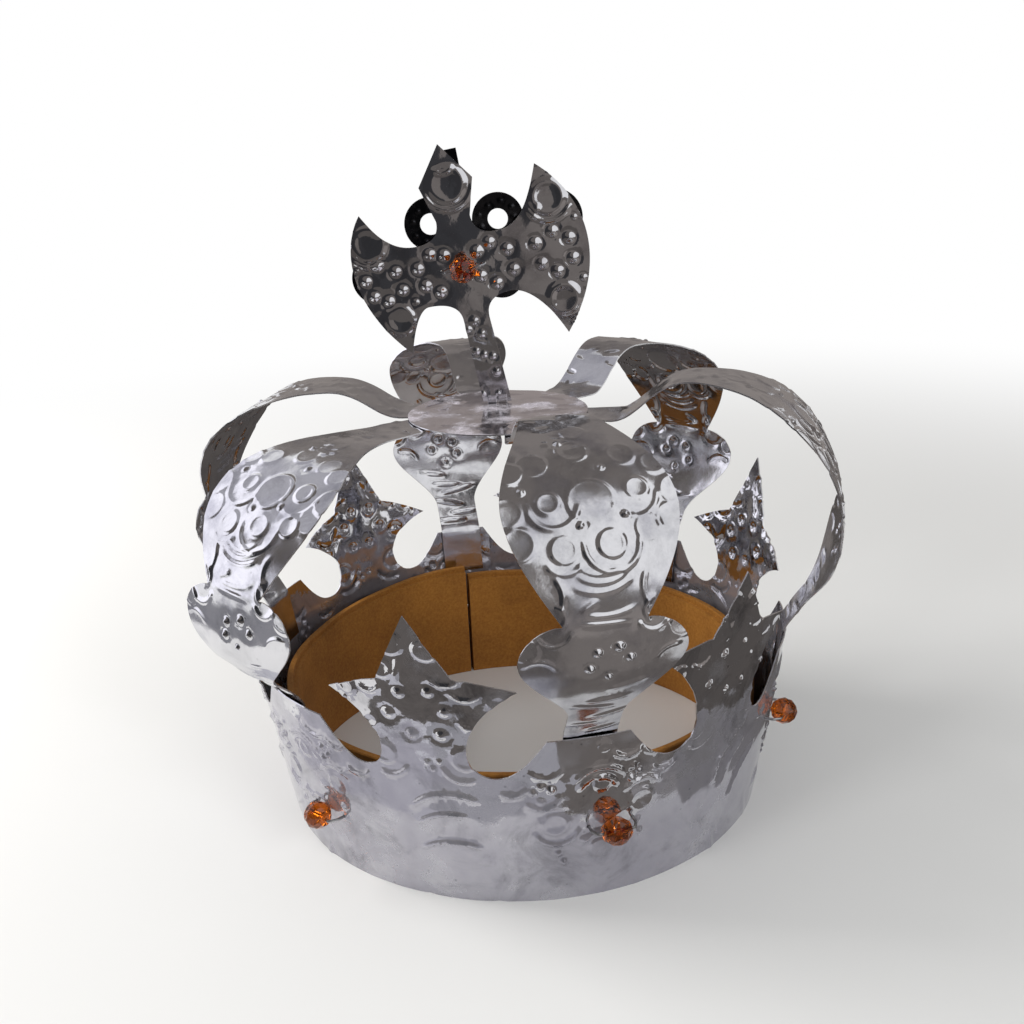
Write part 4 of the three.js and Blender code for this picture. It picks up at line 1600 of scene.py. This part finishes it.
@dataclass
class Axe:
    """The double axe, its folded tongue and the dark scroll plate behind it.

    Places on the plates are measured from the bead, along and across the lean.

    Attributes:
        foot: Where the stem stands on the hub.
        lean: How far the axe leans, in degrees.
        bead_height: Height of the bead above the foot.
        bead_offset: How far the bead is to the left of the foot.
        spacing: Distance between the axe and the scroll plate.
        spike: Height of the spike's point.
        shoulder: The spike's corner.
        neck: The corner between the spike and a blade's scoop.
        rings: The scroll plate's rings, as place, radius and radius of the eye.
        lobes: Its rounds, as place and radius.
        bars: Its straight parts, as two corners.
        ring_dents: Number of dents round a ring, whose ranges follow.
    """

    foot: tuple[float, float, float] = (-4.0, 12.0, HUB_TOP)
    lean: float = 9.0
    bead_height: float = 49.8
    bead_offset: float = 10.0
    spacing: float = 1.6
    spike: float = 43.1
    shoulder: Point = (9.6, 30.0)
    neck: Point = (6.1, 17.5)
    scoop_width: float = 15.0
    upper_scoop: float = 10.4
    lower_scoop: float = 11.4
    stem_top: float = 19.0
    stem_half: float = 4.7
    stem_sway: float = 0.9
    foot_half: float = 5.2
    curve_steps: int = 22
    right: Blade = Blade(45.6, 1.0, (31.7, 30.2), (32.8, 30.4))
    left: Blade = Blade(38.9, 6.5, (32.4, 24.8), (24.5, 26.8))
    tongue_width: float = 7.0
    tongue_split: float = 0.8
    tongue_fold: float = 4.5
    tongue_root: float = 3.0
    tongue_bevel: float = 0.12
    rings: Sequence[tuple[float, ...]] = ((15.48, 14.04, 9.18, 3.6), (-8.28, 16.92, 9.36, 3.78))
    lobes: Sequence[tuple[float, ...]] = (
        (35.28, 10.44, 10.08),
        (-30.96, 1.98, 9.36),
        (12.96, -5.94, 7.92),
        (-14.04, -3.6, 6.48),
    )
    bars: Sequence[tuple[float, ...]] = ((0.36, 0.0, 5.94, 40.68), (-32.04, -6.12, 36.0, 10.08))
    ring_dents: int = 9
    dent_turn: float = 0.2
    dent_aways: Point = (0.6, 0.78)
    dent_sizes: Point = (0.8, 1.2)
    round_sides: int = 72
    eye_sides: int = 40

    def _drawing(self, across: float, up: float) -> Point:
        """Turns a place measured from the stem's foot into the plate's own drawing.

        Args:
            across: Distance to the right of the foot.
            up: Height above it.

        Returns:
            The place in the drawing.
        """
        turn = math.radians(self.lean)
        x, z = across + self.bead_offset, up - self.bead_height
        return x * math.cos(turn) + z * math.sin(turn), z * math.cos(turn) - x * math.sin(turn)

    def _blade(self, side: int, blade: Blade) -> Loop:
        """Draws one blade's edge from the neck round to the stem.

        Args:
            side: 1 for the right blade and -1 for the left.
            blade: Its sizes.

        Returns:
            The points of the edge.
        """
        scoop, low_scoop = (self.scoop_width, self.upper_scoop), (self.scoop_width, -self.lower_scoop)
        tip, edge, heel = blade.tip, (blade.reach, blade.middle), (blade.heel[0], -blade.heel[1])
        stem = (self.stem_half + self.stem_sway * side, -self.stem_top)
        curves = (
            (self.neck, (self.neck[0], scoop[1]), scoop),
            (scoop, between(scoop, tip, 0.48, 0.0), between(scoop, tip, 0.75, 0.43), tip),
            (tip, between(tip, edge, 0.63, 0.26), between(tip, edge, 1.0, 0.62), edge),
            (edge, between(edge, heel, 0.0, 0.38), between(edge, heel, 0.44, 0.73), heel),
            (heel, between(heel, low_scoop, 0.24, 0.52), between(heel, low_scoop, 0.61, 1.0), low_scoop),
            (low_scoop, (stem[0], low_scoop[1]), stem),
        )
        drawn = np.vstack([*[bezier(points, self.curve_steps)[:-1] for points in curves], stem])
        return drawn * (side, 1.0)

    def _outline(self) -> Loop:
        """Draws the axe's outline.

        Returns:
            The closed outline in the axe's own drawing.
        """
        feet = [self._drawing(half, GAP) for half in (self.foot_half, -self.foot_half)]
        shoulder = (-self.shoulder[0], self.shoulder[1])
        right, left = self._blade(1, self.right), self._blade(-1, self.left)
        return np.vstack([(0.0, self.spike), self.shoulder, right, feet, left[::-1], shoulder])

    def _holes(self) -> list[Loop]:
        """Returns the holes for the bead's wire."""
        return [wire_hole(side * HOLE_SPREAD) for side in (-1, 1)]

    def _standing(self, setback: float) -> Placing:
        """Makes the function that stands a drawing up, leaning, with its face towards the front.

        Args:
            setback: How far behind the foot's middle the face stands.

        Returns:
            The function, which turns flat places and lifts into points in space.
        """
        cosine, sine = math.cos(math.radians(self.lean)), math.sin(math.radians(self.lean))
        x, y, z = self.foot
        x, y, z = x - self.bead_offset, y + setback, z + self.bead_height

        def place(flat: np.ndarray, lift: np.ndarray) -> np.ndarray:
            """Turns places and lifts in the drawing into points in space."""
            across, up = flat[:, 0], flat[:, 1]
            left, height = x + across * cosine - up * sine, z + across * sine + up * cosine
            return np.column_stack([left, y - lift, height])

        return place

    @staticmethod
    def marks() -> list[Mark]:
        """Sets out the axe's ball punches, its large rounds and a few ridges.

        Returns:
            The stamps.
        """
        left = ((-29.8, 6.3), (-35.2, 2), (-33.5, -4), (-28.7, -6.5), (-24, 3.3), (-22.9, -3.5))
        centre = ((-16, 2.7), (-14.5, -3.7), (-11, 6.8), (-9.7, -6.9), (-6, 5.6), (5.8, 4.6), (5.6, -4.2))
        right = ((10.8, 6.8), (16.6, 3.3), (10.7, -7.8), (17.5, -4.2), (26.8, 3.3), (33.4, 6.2))
        far_right = ((38.9, 2.8), (27.8, -4.3), (32.9, -8), (39.1, -4.5))
        small = ((-19.4, -8.6, 1.3), (42, 9.5, 1.0), (41.5, -12, 1.2), (-37.5, 6.4, 1.1))
        stem = ((-0.2, -19.5, 1.7), (-3, -22, 1.3), (1.6, -24.6, 1.4), (-1.6, -30.4, 1.2), (0.9, -32.2, 1.2))
        low_stem = ((3.9, -33.4, 1.2), (4, -39.5, 1.5), (-2.4, -46.5, 0.9), (3.0, -47.4, 0.9))
        rounds = ((0.3, 29.3, 6.0), (34, 18.2, 5.6), (33.4, -17.8, 5.2), (-26.3, -13.9, 4.8))
        bows = ((0.3, 29.3, 8.6, 180, 180), (34, 18.2, 8.2, 190, 150), (0, 36.8, 3.4, 190, 160))
        return [
            *domes([(*place, 1.9) for place in (*left, *centre, *right, *far_right)], 0.75),
            *domes(small, 0.4),
            *domes((*stem, *low_stem), 0.35),
            *dishes((*rounds, (-31.4, 14.6, 5.6)), 0.8),
            *arcs((*bows, (-31.4, 14.6, 8.2, 200, 110)), 0.45),
            *creases(((-17, -10.2, 4, 10), (-33, -16, 3, -50), (29, 14, 3, 60)), 0.3),
        ]

    def _tongue(self, shop: Workshop, name: str, side: int) -> Piece:
        """Bends one half of the stem's tongue, folded below the hub.

        Args:
            shop: The shared trees and materials.
            name: The piece's name.
            side: -1 for the half that folds to the front and 1 for the other.

        Returns:
            The piece.
        """
        half, top = PLATE / 2.0, -SHEET - GAP
        low, root, fold = top - PLATE, self.tongue_root, self.tongue_fold
        bend = bezier([(-half, top), (-half, low), (half, low)], 6)
        profile = [(half, root), (-half, root), *bend, (fold, low), (fold, top), (half, top)]
        start = -self.tongue_width / 2.0 if side < 0 else self.tongue_split / 2.0
        x, y, z = self.foot
        points = [
            (x + across, y + side * away, z + up)
            for across in (start, start + (self.tongue_width - self.tongue_split) / 2.0)
            for away, up in profile
        ]
        count = len(profile)
        sides = [(i, (i + 1) % count, count + (i + 1) % count, count + i) for i in range(count)]
        faces = [tuple(range(count))[::-1], tuple(range(count, 2 * count)), *sides]
        piece = new_piece(name, np.array(points) * MM, [face[::side] for face in faces])
        piece.data.materials.append(shop.axe_metal)
        bevel = piece.modifiers.new("Edges", "BEVEL")
        bevel.width = self.tongue_bevel * MM
        bevel.segments = 2
        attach(piece, "root")
        return piece

    def _scroll_plate(self, shop: Workshop) -> Piece:
        """Builds the dark plate behind the axe, made of rings, lobes and bars.

        Args:
            shop: The shared trees and materials.

        Returns:
            The plate.
        """
        rounds, sides = (*self.rings, *self.lobes), self.round_sides
        solids = [circle(across, up, radius, sides) for across, up, radius, *_ in rounds]
        solids += [box_loop(*bar) for bar in self.bars]
        eyes = [circle(across, up, eye, self.eye_sides) for across, up, _, eye in self.rings]
        chance = random.Random(7)
        dents = []
        for across, up, radius, _ in self.rings:
            for step in range(self.ring_dents):
                turn = 2.0 * math.pi * step / self.ring_dents
                turn += chance.uniform(-self.dent_turn, self.dent_turn)
                away = radius * chance.uniform(*self.dent_aways)
                size = chance.uniform(*self.dent_sizes)
                dents.append((across + away * math.cos(turn), up + away * math.sin(turn), size))
        sheet = Sheet(
            "scroll_plate",
            "rear_plate",
            self._standing(PLATE / 2.0 + self.spacing),
            domes(dents, 0.35),
            solids,
            eyes + self._holes(),
            coarse=1.5,
            fine=0.6,
            thickness=PLATE,
            wave=0.25,
            dent=0.3,
            seed=41.0,
        )
        return sheet.build(shop, shop.dark_metal, "dark_sheet_metal")

    def build(self, shop: Workshop) -> list[Piece]:
        """Builds the axe, its tongue and the scroll plate.

        Args:
            shop: The shared trees and materials.

        Returns:
            The pieces.
        """
        sheet = Sheet(
            "axe_sheet",
            "axe_plate",
            self._standing(-PLATE / 2.0),
            self.marks(),
            [self._outline()],
            self._holes(),
            coarse=1.3,
            fine=0.5,
            thickness=PLATE,
            wave=1.5,
            dent=0.2,
            seed=40.0,
        )
        return [
            sheet.build(shop, shop.axe_metal, "sheet_metal"),
            self._tongue(shop, "axe_tongue_front", -1),
            self._tongue(shop, "axe_tongue_back", 1),
            self._scroll_plate(shop),
        ]


@dataclass
class BeadSetting:
    """A faceted glass bead and the wire staple that it turns on.

    Attributes:
        node: The frame's bead, whose name the pieces take.
        wire_node: The frame's staple.
        depth: How far behind the face the staple's legs fold.
        place: Turns the drawing, with the face at y = 0, into its place.
        stand_off: How far in front of the face the wire passes.
        bridge: Half the length of the straight wire through the bead.
        fold: Length of a leg's folded end.
        bend: Size of the wire's bends.
        bend_share: Radius of the bends, as a share of that size.
    """

    node: str
    wire_node: str
    depth: float
    place: Matrix
    stand_off: float = 5.3
    bridge: float = 5.7
    fold: float = 4.0
    bend: float = 1.1
    bend_share: float = 0.8
    weld: float = 0.002
    facet_bevel: float = 0.13
    facet_angle: float = 12.0

    def _glass(self, shop: Workshop) -> Piece:
        """Dresses a copy of the frame's bead with softened facet edges.

        Args:
            shop: The shared trees and materials.

        Returns:
            The bead.
        """
        source = frame["nodes"][self.node]
        mesh = source.data.copy()
        mesh.materials.clear()
        mesh.materials.append(shop.glass)
        piece = linked(f"{self.node}_glass", mesh)
        weld = piece.modifiers.new("Weld", "WELD")
        weld.merge_threshold = self.weld * MM
        edges = piece.modifiers.new("Facets", "BEVEL")
        edges.width = self.facet_bevel * MM
        edges.segments = 2
        edges.limit_method = "ANGLE"
        edges.angle_limit = math.radians(self.facet_angle)
        keep_result(piece)
        piece.data.shade_flat()
        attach(piece, source["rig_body"])
        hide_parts(self.node)
        return piece

    def _staple(self, shop: Workshop) -> Piece:
        """Bends the staple.

        Args:
            shop: The shared trees and materials.

        Returns:
            The staple.
        """
        leg = [
            (-HOLE_SPREAD + self.fold, self.depth, 0.0),
            (-HOLE_SPREAD, self.depth, 0.0),
            (-HOLE_SPREAD, -self.stand_off / 2.0, 0.0),
            (-self.bridge - self.bend / 2.0, -self.stand_off, 0.0),
        ]
        line = leg + [(-x, y, z) for x, y, z in leg[::-1]]
        points = [self.place @ (Vector(point) * MM) for point in line]
        edges = [(index, index + 1) for index in range(len(line) - 1)]
        piece = new_piece(f"{self.node}_staple", points, [], edges)
        radii = {"Wire radius": WIRE_RADIUS * MM, "Bend radius": self.bend * self.bend_share * MM}
        run_tree(piece, shop.trees.wire, {**radii, "Material": shop.wire})
        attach(piece, "root")
        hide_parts(self.wire_node)
        return piece

    def build(self, shop: Workshop) -> list[Piece]:
        """Builds the bead and its staple."""
        return [self._glass(shop), self._staple(shop)]


@dataclass
class Liner:
    """The ring of brown board inside the band, with a butt seam at the back.

    Attributes:
        lift: How much higher the board stands at one side of the seam.
        lift_span: Degrees over which the lift dies away.
        soft: How far its cut edges are rounded.
        foot_soft: How far its foot is rounded inwards.
        inner_top: The top of the inner ply, which ends a little lower, and its step up to
            the outer one, as distances from the inner face and from the board's top.
        wave: How far the cut top edge wanders.
    """

    outer: float = 89.2
    thickness: float = 4.0
    height: float = 47.0
    lift: float = 4.5
    lift_span: float = 55.0
    seam: float = 195.0
    seam_gap: float = 1.4
    soft: float = 0.4
    foot_soft: float = 0.35
    inner_top: Sequence[Point] = ((0, -2.6), (0.25, -2.2), (1.2, -2.1), (1.5, -1.9), (1.5, -0.4), (1.8, 0))
    wave: float = 0.12
    wave_count: int = 4
    wave_phase: float = 6.28
    wave_rates: Point = (5.0, 14.0)
    steps: int = 300
    sharp: float = 35.0

    def _section(self, height: float) -> list[Point]:
        """Draws the board's section, with its two plies and soft edges.

        Args:
            height: The board's height there.

        Returns:
            The section's corners, as radius and height.
        """
        outer, inner, soft = self.outer, self.outer - self.thickness, self.soft
        return [
            (inner + self.foot_soft, 0.0),
            (inner, soft),
            (inner, height / 2.0),
            *[(inner + across, height + up) for across, up in self.inner_top],
            (outer - soft, height),
            (outer, height - soft),
            (outer, height / 2.0),
            (outer, soft),
            (outer - self.foot_soft, 0.0),
        ]

    def build(self, shop: Workshop) -> list[Piece]:
        """Builds the ring.

        Args:
            shop: The shared trees and materials.

        Returns:
            The ring's piece.
        """
        half_gap = math.degrees(self.seam_gap / 2.0 / self.outer)
        start, end = self.seam + half_gap, self.seam + FULL_TURN - half_gap
        chance = random.Random(3)
        waves = [
            (chance.uniform(0.0, self.wave_phase), chance.uniform(*self.wave_rates))
            for _ in range(self.wave_count)
        ]
        points, faces = [], []
        for step in range(self.steps + 1):
            azimuth = start + (end - start) * step / self.steps
            turn = math.radians(azimuth)
            rise = self.lift * (1.0 - float(smooth(np.array((azimuth - start) / self.lift_span))))
            rise += sum(self.wave * math.sin(phase + rate * turn) for phase, rate in waves)
            section = self._section(self.height + rise)
            points += [(r * math.sin(turn), -r * math.cos(turn), z) for r, z in section]
        count = len(section)
        for low in range(0, self.steps * count, count):
            for index in range(count):
                following, high = (index + 1) % count, low + count
                faces.append((low + index, low + following, high + following, high + index))
        last = self.steps * count
        faces += [tuple(range(count))[::-1], tuple(range(last, last + count))]
        piece = new_piece("board_liner", np.array(points) * MM, faces)
        piece.data.materials.append(shop.board)
        piece.data.shade_smooth()
        piece.data.set_sharp_from_angle(angle=math.radians(self.sharp))
        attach(piece, "root")
        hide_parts("inner_liner")
        return [piece]


class Tint(Enum):
    """The two greys of the cloths."""

    WARM = (1.0, 0.9, 0.84)
    COOL = (1.0, 0.99, 1.06)


@dataclass(frozen=True)
class Cloth:
    """A grey cloth around the table, from one azimuth to another. Lengths are metres.

    Attributes:
        name: The cloth's name.
        first: Azimuth of its left edge, in degrees from the front.
        last: Azimuth of its right edge.
        near: Radius and height of its lower or inner edge.
        far: Radius and height of its upper or outer edge.
        shade: How light it is.
        tint: Which grey it has.
        step: The most degrees that one of its faces takes up.
    """

    name: str
    first: float
    last: float
    near: Point
    far: Point
    shade: float
    tint: Tint = Tint.WARM
    step: float = 10.0

    def hang(self) -> None:
        """Hangs or lays the cloth, which only reflections see."""
        steps = max(2, math.ceil((self.last - self.first) / self.step))
        points = [
            (radius * math.sin(azimuth), -radius * math.cos(azimuth), height)
            for azimuth in np.radians(np.linspace(self.first, self.last, steps + 1))
            for radius, height in (self.near, self.far)
        ]
        faces = [(2 * i, 2 * i + 2, 2 * i + 3, 2 * i + 1) for i in range(steps)]
        piece = new_piece(self.name, points, faces)
        material, bench = new_material(f"{self.name}_cloth")
        inputs = {"Color": (*self.tint.value, 1.0), "Strength": self.shade}
        bench.surface("ShaderNodeEmission", inputs)
        material.cycles.emission_sampling = "NONE"
        piece.data.materials.append(material)
        piece.visible_camera = False
        piece.visible_diffuse = False
        piece.visible_transmission = False
        piece.visible_shadow = False


@dataclass(frozen=True)
class Lamp:
    """A soft square lamp that looks at the crown, with its size and place in metres."""

    name: str
    place: tuple[float, float, float]
    size: float
    power: float
    tint: Colour
    aim_height: float = 0.1

    def hang(self) -> None:
        """Hangs the lamp, which reflections don't show."""
        data = bpy.data.lights.new(self.name, "AREA")
        data.size = self.size
        data.energy = self.power
        data.color = self.tint
        lamp = linked(self.name, data)
        lamp.visible_glossy = False
        lamp.location = self.place
        aim = Vector((0.0, 0.0, self.aim_height)) - lamp.location
        lamp.rotation_mode = "QUATERNION"
        lamp.rotation_quaternion = aim.to_track_quat("-Z", "Y")


@dataclass
class Studio:
    """The pale floor, the soft lights and the camera at the photograph's angle."""

    elevation: float = 30.4
    distance: float = 500.0
    focal_pixels: float = 1226.0
    base_pixel: Point = (524.5, 760.5)
    roll: float = -2.55
    sensor: float = 36.0
    half_floor: float = 6.0
    floor_fade: Point = (0.3, 0.9)
    floor_colour: Colour = (0.8, 0.795, 0.78)
    sky: float = 0.5
    nearest: float = 0.01
    lamps: Sequence[Lamp] = (
        Lamp("key", (-1.0, 0.3, 0.55), 0.6, 12.0, (1.0, 0.985, 0.97)),
        Lamp("fill", (0.55, -0.85, 0.6), 0.4, 4.0, (0.95, 0.975, 1.0)),
        Lamp("left", (-0.8, -0.7, 0.5), 0.3, 3.0, (1.0, 1.0, 1.0)),
    )
    cloths: Sequence[Cloth] = (
        Cloth("near_left_ground", -80, -26, (0.122, 0.001), (0.165, 0.001), 0.62, Tint.COOL),
        Cloth("near_ground", -26, 10, (0.122, 0.001), (0.165, 0.001), 0.38, Tint.COOL),
        Cloth("near_right_ground", 10, 44, (0.122, 0.001), (0.165, 0.001), 0.16),
        Cloth("front_ground", -48, 12, (0.165, 0.001), (0.34, 0.001), 0.14),
        Cloth("front_far_ground", -60, 14, (0.34, 0.001), (0.95, 0.001), 0.12),
        Cloth("right_far_ground", 14, 72, (0.34, 0.001), (0.95, 0.001), 0.28),
        Cloth("ear_ground", 12, 38, (0.165, 0.001), (0.34, 0.001), 0.2),
        Cloth("left_ground", -125, -60, (0.3, 0.001), (0.66, 0.001), 0.3, Tint.COOL),
        Cloth("right_ground", 44, 115, (0.112, 0.001), (0.34, 0.001), 0.1),
        Cloth("back_ground", 130, 235, (0.102, 0.001), (0.45, 0.001), 0.1),
        Cloth("back_far_ground", 120, 250, (0.45, 0.001), (1.0, 0.001), 0.2),
        Cloth("front_dark_wall", -75, -8, (0.95, 0.0), (0.95, 0.5), 0.04, Tint.COOL),
        Cloth("front_middle_wall", -8, -1, (0.95, 0.0), (0.95, 0.5), 0.05, Tint.COOL),
        Cloth("front_grey_wall", -1, 14, (0.95, 0.0), (0.95, 0.5), 0.2),
        Cloth("front_low_wall", 14, 60, (0.95, 0.0), (0.95, 0.13), 0.16),
        Cloth("front_slope", -75, 14, (0.95, 0.5), (0.55, 1.2), 0.16),
        Cloth("right_wall", 66, 138, (1.0, 0.0), (1.0, 0.9), 0.15),
        Cloth("back_wall", 142, 200, (1.0, 0.0), (1.0, 0.5), 0.29),
        Cloth("back_slope", 112, 206, (1.0, 0.5), (0.55, 1.2), 0.25),
        Cloth("left_window", -145, -80, (1.0, 0.0), (0.95, 0.34), 1.35, Tint.COOL),
        Cloth("left_high_window", -145, -90, (0.95, 0.34), (0.85, 0.75), 1.35, Tint.COOL),
        Cloth("left_high_wall", -90, -70, (0.95, 0.34), (0.85, 0.75), 0.14),
        Cloth("left_slope", -150, -76, (0.85, 0.75), (0.5, 1.2), 0.5, Tint.COOL),
        Cloth("canopy", 0, 360, (0.0, 1.3), (0.55, 1.2), 0.18),
    )

    def _camera(self) -> None:
        """Puts the camera where the crown's base centre falls on its pixel."""
        tilt, roll = math.radians(self.elevation), math.radians(self.roll)
        spot = Vector((0.0, -math.cos(tilt), math.sin(tilt))) * self.distance * MM
        ahead = -spot.normalized()
        right = Vector((1.0, 0.0, 0.0))
        up = right.cross(ahead)
        rolled_right = right * math.cos(roll) + up * math.sin(roll)
        rolled_up = up * math.cos(roll) - right * math.sin(roll)
        middle = PHOTO_SIDE / 2.0
        aside, down = self.base_pixel[0] - middle, self.base_pixel[1] - middle
        target = Vector((aside / self.focal_pixels, -down / self.focal_pixels, 1.0)).normalized()
        swing = Vector((0.0, 0.0, 1.0)).rotation_difference(target).to_matrix()
        rows = swing @ Matrix((rolled_right, rolled_up, ahead))
        basis = Matrix((rows[0], rows[1], -rows[2])).transposed()
        data = bpy.data.cameras.new("camera")
        data.sensor_width = self.sensor
        data.lens = self.sensor * self.focal_pixels / PHOTO_SIDE
        data.clip_start = self.nearest
        camera = linked("camera", data)
        camera.matrix_world = Matrix.Translation(spot) @ basis.to_4x4()
        bpy.context.scene.camera = camera

    def _world(self) -> None:
        """Makes a world that shows as a white backdrop and lights things softly."""
        world = bpy.data.worlds.new("studio")
        bpy.context.scene.world = world
        world.use_nodes = True
        world.node_tree.nodes.clear()
        bench = NodeBench(world.node_tree)
        strength = bench.math("ADD", self.sky, bench.math("MULTIPLY", bench.seen(), 1.0 - self.sky))
        inputs = {"Color": (1.0, 1.0, 1.0, 1.0), "Strength": strength}
        bench.surface("ShaderNodeBackground", inputs, "ShaderNodeOutputWorld")

    def _floor(self) -> None:
        """Lays the pale floor, which runs out into white far from the crown."""
        side = self.half_floor
        corners = [(*corner, 0.0) for corner in box_loop(-side, -side, side, side)]
        floor = new_piece("floor", corners, [(0, 1, 2, 3)])
        material, bench = new_material("pale_floor")
        away = bench.put("ShaderNodeVectorMath", {0: bench.place()}, operation="LENGTH").outputs["Value"]
        share = bench.math("MULTIPLY", bench.fade(away, *self.floor_fade), bench.seen())
        matt = bench.put("ShaderNodeBsdfDiffuse", {"Color": (*self.floor_colour, 1.0)})
        white = bench.put("ShaderNodeEmission", {"Color": (1.0, 1.0, 1.0, 1.0), "Strength": 1.0})
        bench.surface("ShaderNodeMixShader", {0: share, 1: matt.outputs[0], 2: white.outputs[0]})
        floor.data.materials.append(material)

    def build(self) -> None:
        """Sets up the whole studio."""
        self._camera()
        self._world()
        for lamp in self.lamps:
            lamp.hang()
        self._floor()
        for cloth in self.cloths:
            cloth.hang()
        bpy.context.scene.view_settings.view_transform = "Standard"


def make_workshop() -> Workshop:
    """Makes the shared trees and materials.

    Returns:
        The workshop that holds them.
    """
    silver, haze, grey = (0.70, 0.70, 0.73), (0.48, 0.48, 0.53), (0.39, 0.38, 0.43)
    # the hub's pale lavender colours are a painted reflection of the bright space above its upward face
    painted_reflection_pale, painted_reflection_dim = (0.88, 0.84, 0.9), (0.7, 0.65, 0.72)
    bloomed = SheetMetalFinish("bloomed_sheet", silver, grey, 0.05, 0.09, 66.0, 0.65, 0.7, rubbed=30.0)
    finishes = {
        "metal": SheetMetalFinish("bright_sheet", silver, haze, 0.12, 0.22),
        "band_metal": bloomed,
        # the hub: a hazed, mostly matt sheet whose pale lavender colour is painted reflection
        "hub_metal": SheetMetalFinish("hazed_sheet_painted_reflection", painted_reflection_pale, painted_reflection_dim, 0.12, 0.3, bare=0.15, stain=0.4),
        "axe_metal": SheetMetalFinish("mirror_sheet", (0.66, 0.66, 0.69), (0.5, 0.49, 0.52), 0.05, 0.13),
        # the cut edges are real, and their colour, paler than the faces, is a painted edge highlight
        "cut_edge_highlight": SheetMetalFinish("cut_edge_highlight", (0.86, 0.86, 0.88), (0.6, 0.6, 0.64), 0.25, 0.4),
        "dark_metal": SheetMetalFinish("black_sheet", (0.03, 0.03, 0.035), (0.06, 0.06, 0.065), 0.12, 0.3),
        "wire": SheetMetalFinish("dull_wire", (0.5, 0.5, 0.52), (0.3, 0.29, 0.28), 0.3, 0.5),
        "glass": GlassFinish("amber_glass", (0.44, 0.095, 0.006)),
        "board": BoardFinish("brown_board", (0.40, 0.17, 0.03), (0.20, 0.08, 0.015)),
    }
    groups, trees = ShaderGroups(), GeometryTrees()
    return Workshop(trees, **{use: finish.material(groups) for use, finish in finishes.items()})


def set_straps(band: HeadBand) -> list[Strap]:
    """Sets out the six straps, of which the last two are bent in their own way.

    Args:
        band: The band that they stand in.

    Returns:
        The straps in the order of their numbers.
    """
    straps = [Strap(number, band, azimuth) for number, azimuth in enumerate(band.strap_azimuths, 1)]
    straps[4] = replace(straps[4], crest_share=0.65)
    straps[5] = replace(straps[5], turn=10.8, bulge_share=0.88, crest_share=0.05, end_share=1.4)
    return straps


def set_beads(band: HeadBand, axe: Axe) -> list[BeadSetting]:
    """Sets out the beads of the band and of the axe.

    Args:
        band: The band, which says where its beads sit.
        axe: The axe.

    Returns:
        The settings, the axe's last.
    """
    settings = []
    for number, (azimuth, height) in enumerate(band.beads, 1):
        radius = band.radius(height)
        depth = SHEET + HOLE_SPREAD**2 / (2.0 * radius) + GAP + WIRE_RADIUS
        turn = Matrix.Rotation(math.radians(azimuth), 4, "Z")
        place = turn @ Matrix.Translation(Vector((0.0, -radius, height)) * MM)
        settings.append(BeadSetting(f"bead_{number}", f"bead_wire_{number}", depth, place))
    x, y, z = axe.foot
    centre = Vector((x - axe.bead_offset, y - PLATE / 2.0, z + axe.bead_height))
    depth = 2.0 * PLATE + axe.spacing + GAP + WIRE_RADIUS
    place = Matrix.Translation(centre * MM) @ Matrix.Rotation(-math.radians(axe.lean), 4, "Y")
    settings.append(BeadSetting("axe_bead", "axe_bead_wire", depth, place))
    return settings


def main() -> None:
    """Builds the studio and the crown in order and reports each piece."""
    logging.basicConfig(level=logging.INFO, format="%(name)s: %(message)s")
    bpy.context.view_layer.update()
    Studio().build()
    shop = make_workshop()
    band, axe = HeadBand(), Axe()
    for part in (band, *set_straps(band), Hub(), axe, *set_beads(band, axe), Liner()):
        for piece in part.build(shop):
            LOG.info("%s: %d faces", piece.name, len(piece.data.polygons))


if __name__ == "__main__":
    main()
